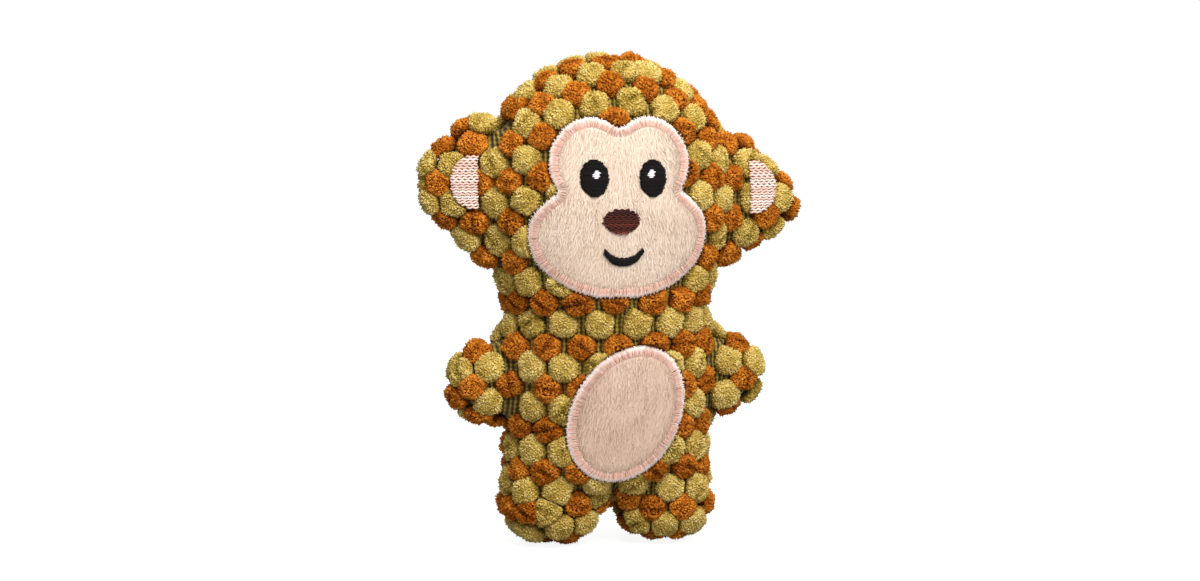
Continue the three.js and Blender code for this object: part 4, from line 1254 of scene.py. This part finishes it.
def stitched_rows(name, outline, material, body, pitch, thickness, lift, dome, seed, wave=0):
    """Level stitches side by side, filling an outline, over a pad of the same thread. They
    swell by dome towards the middle. Wavy ones are built finer."""
    chance = np.random.default_rng(seed)
    whole = shaded_form()
    put(whole, thread_pad(outline, lift - thickness), 0.1)
    low, high = outline[:, 1].min(), outline[:, 1].max()
    rows = max(2, round((high - low) / pitch))
    for k in range(rows):
        z = low + (k + 0.5) * (high - low) / rows
        span = row_span(outline, z)
        if span is None:
            continue
        left, right = span[0] - chance.uniform(-0.15, 0.4), span[1] + chance.uniform(-0.15, 0.4)
        steps = max(4, int((right - left) / (0.5 if wave else 0.9)))
        path = []
        phase = chance.uniform(0, 6)
        for i in range(steps + 1):
            share = i / steps
            x = left + share * (right - left)
            edge = 1 - (2 * share - 1) ** 6
            height = lift + dome * edge - (1 - edge) * 0.3
            path.append(on_front(x, z + wave * math.sin(phase + x * 3.3), height)[0])
        ends = [thickness * 0.8]
        thread = tube(path, ends + [thickness] * (steps - 1) + ends)
        put(whole, thread, chance.uniform(0.2, 0.95))
    finished(name + "_threads", whole, material, body, stands_for=[name + "_stitch"])


for name, side in SIDE.items():
    stitched_rows(
        name + "_eye", EYES[name], BLACK, "head", 0.42, 0.25, -0.5, 0.3, 5
    )
    stitched_rows(
        name + "_eye_glint", oval(side * 8.8, 121, 2.2, 2.6, 8), WHITE, "head",
        0.5, 0.25, 0.05, 0.1, 6
    )
    stitched_rows(
        name + "_ear_inner", EAR_PATCHES[name], EAR_PINK, name + "_ear",
        0.86, 0.36, -0.6, 0.2, 7, 0.2
    )
stitched_rows("nose", NOSE, BROWN, "head", 0.66, 0.32, -0.4, 0.35, 8, 0.2)

# Up a stitch of the mouth: share of its height, lift, lean away from the middle, half thickness
MOUTH_PATH = (
    (-0.08, -1.2, 1, 0.16), (0.12, -0.2, 0.6, 0.25), (0.5, 0.1, 0, 0.27),
    (0.88, -0.2, -0.6, 0.25), (1.08, -1.2, -1, 0.14),
)


def stitched_mouth():
    """Upright stitches side by side along the smile."""
    chance = np.random.default_rng(9)
    whole = shaded_form()
    for across in np.linspace(-1, 1, 37):
        curve = abs(across) ** 2.5
        low = 92.1 + 4.1 * curve - chance.uniform(0, 0.25)
        high = 94.2 + 3.1 * curve + chance.uniform(0.05, 0.35)
        x = MOUTH_HALF_WIDTH * across
        path = [
            on_front(x + lean * 0.25 * across, low + share * (high - low), lift)[0]
            for share, lift, lean, _ in MOUTH_PATH
        ]
        thread = tube(path, [radius for *_, radius in MOUTH_PATH])
        put(whole, thread, chance.uniform(0.2, 0.95))
    finished(
        "mouth_threads", whole, BLACK, "head", stands_for=["mouth_stitch"]
    )


stitched_mouth()

# ---------------- Squeaker, inside the torso

SQUEAKER_Z = 60
BELLOWS_RADIUS, BELLOWS_WAVE, BELLOWS_HALF = 12, 1.4, 6.3
FOLDS, FOLD_RINGS, BELLOWS_WALL = 3, 12, 0.7


def squeaker_bellows():
    """Thin folds from the cap to the base, built open. On the real squeaker they close up towards the base
    when it is pressed.
    """
    form = bmesh.new()
    ring = bmesh.ops.create_circle(form, cap_ends=False, segments=48, radius=1)["verts"]
    edges = list(form.edges)
    turns = {v: math.atan2(v.co.y, v.co.x) for v in ring}
    steps = FOLDS * FOLD_RINGS
    for k in range(steps + 1):
        if k:
            edges, turns = ring_out(form, edges, turns)
        radius = BELLOWS_RADIUS + BELLOWS_WAVE * math.cos(FOLDS * 2 * math.pi * k / steps)
        y = -BELLOWS_HALF + 2 * BELLOWS_HALF * k / steps
        for v, turn in turns.items():
            v.co = radius * math.cos(turn), y, SQUEAKER_Z + radius * math.sin(turn)
    bmesh.ops.recalc_face_normals(form, faces=form.faces)
    bmesh.ops.solidify(form, geom=list(form.faces), thickness=BELLOWS_WALL)
    bmesh.ops.recalc_face_normals(form, faces=form.faces)
    folds = finished(
        "squeaker_folds", form, SQUEAKER, "torso",
        stands_for=["squeaker_bellows"],
    )
    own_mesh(folds)


squeaker_bellows()
for node, material in (
    ("squeaker_cap", SQUEAKER), ("squeaker_base", SQUEAKER), ("squeaker_reed_plug", REED),
):
    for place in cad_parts[node].material_slots:
        place.material = material

# ---------------- Floor, backdrop and light

FLOOR_GREY, FLOOR_GLOW = 0.4, 0.9
WORLD_LIGHT = 0.33  # on the object; the background itself shows as 1, which is white
LAMPS_AIM = Vector((0, 0, 0.08))
# Name, place, size, watts
LAMPS = (("key", (0.05, -0.42, 0.44), 0.4, 3.9), ("top", (-0.03, -0.1, 0.6), 0.35, 1.0))


def background_share(tree):
    """1 for rays that show the background: straight, in a gloss or through something clear."""
    path = add(tree, "ShaderNodeLightPath")
    share = 0
    for ray in ("Is Camera Ray", "Is Glossy Ray", "Is Transmission Ray"):
        sockets = {0: path.outputs[ray], 1: share}
        share = add(tree, "ShaderNodeMath", sockets, operation="MAXIMUM").outputs[0]
    return share


def pale_floor():
    plane = bmesh.new()
    bmesh.ops.create_grid(plane, x_segments=1, y_segments=1, size=4)
    mesh = as_mesh("floor", plane)
    material = bpy.data.materials.new("white_studio_floor")
    material.use_nodes = True
    tree = material.node_tree
    tree.nodes.clear()
    sockets = {0: background_share(tree), 1: FLOOR_GLOW}
    seen = add(tree, "ShaderNodeMath", sockets, operation="MULTIPLY")
    matt = add(tree, "ShaderNodeBsdfDiffuse", {"Color": (FLOOR_GREY,) * 3 + (1,)})
    glow = add(tree, "ShaderNodeEmission", {"Strength": seen.outputs[0]})
    both = add(tree, "ShaderNodeAddShader", {0: matt.outputs[0], 1: glow.outputs[0]})
    add(tree, "ShaderNodeOutputMaterial", {"Surface": both.outputs[0]})
    mesh.materials.append(material)
    linked("floor", mesh)


def studio_light():
    world = bpy.data.worlds.new("studio")
    scene.world = world
    world.use_nodes = True
    tree = world.node_tree
    tree.nodes.clear()
    sockets = {0: background_share(tree), 1: 1 - WORLD_LIGHT, 2: WORLD_LIGHT}
    seen = add(tree, "ShaderNodeMath", sockets, operation="MULTIPLY_ADD")
    back = add(tree, "ShaderNodeBackground", {
        "Color": (1, 1, 1, 1), "Strength": seen.outputs[0],
    })
    add(tree, "ShaderNodeOutputWorld", {"Surface": back.outputs[0]})
    for name, place, size, watts in LAMPS:
        lamp = bpy.data.lights.new(name, "AREA")
        lamp.size, lamp.energy = size, watts
        light = bpy.data.objects.new(name, lamp)
        light.location = place
        light.rotation_euler = (Vector(place) - LAMPS_AIM).to_track_quat("Z", "Y").to_euler()
        scene.collection.objects.link(light)


pale_floor()
studio_light()
scene.view_settings.view_transform = "Standard"
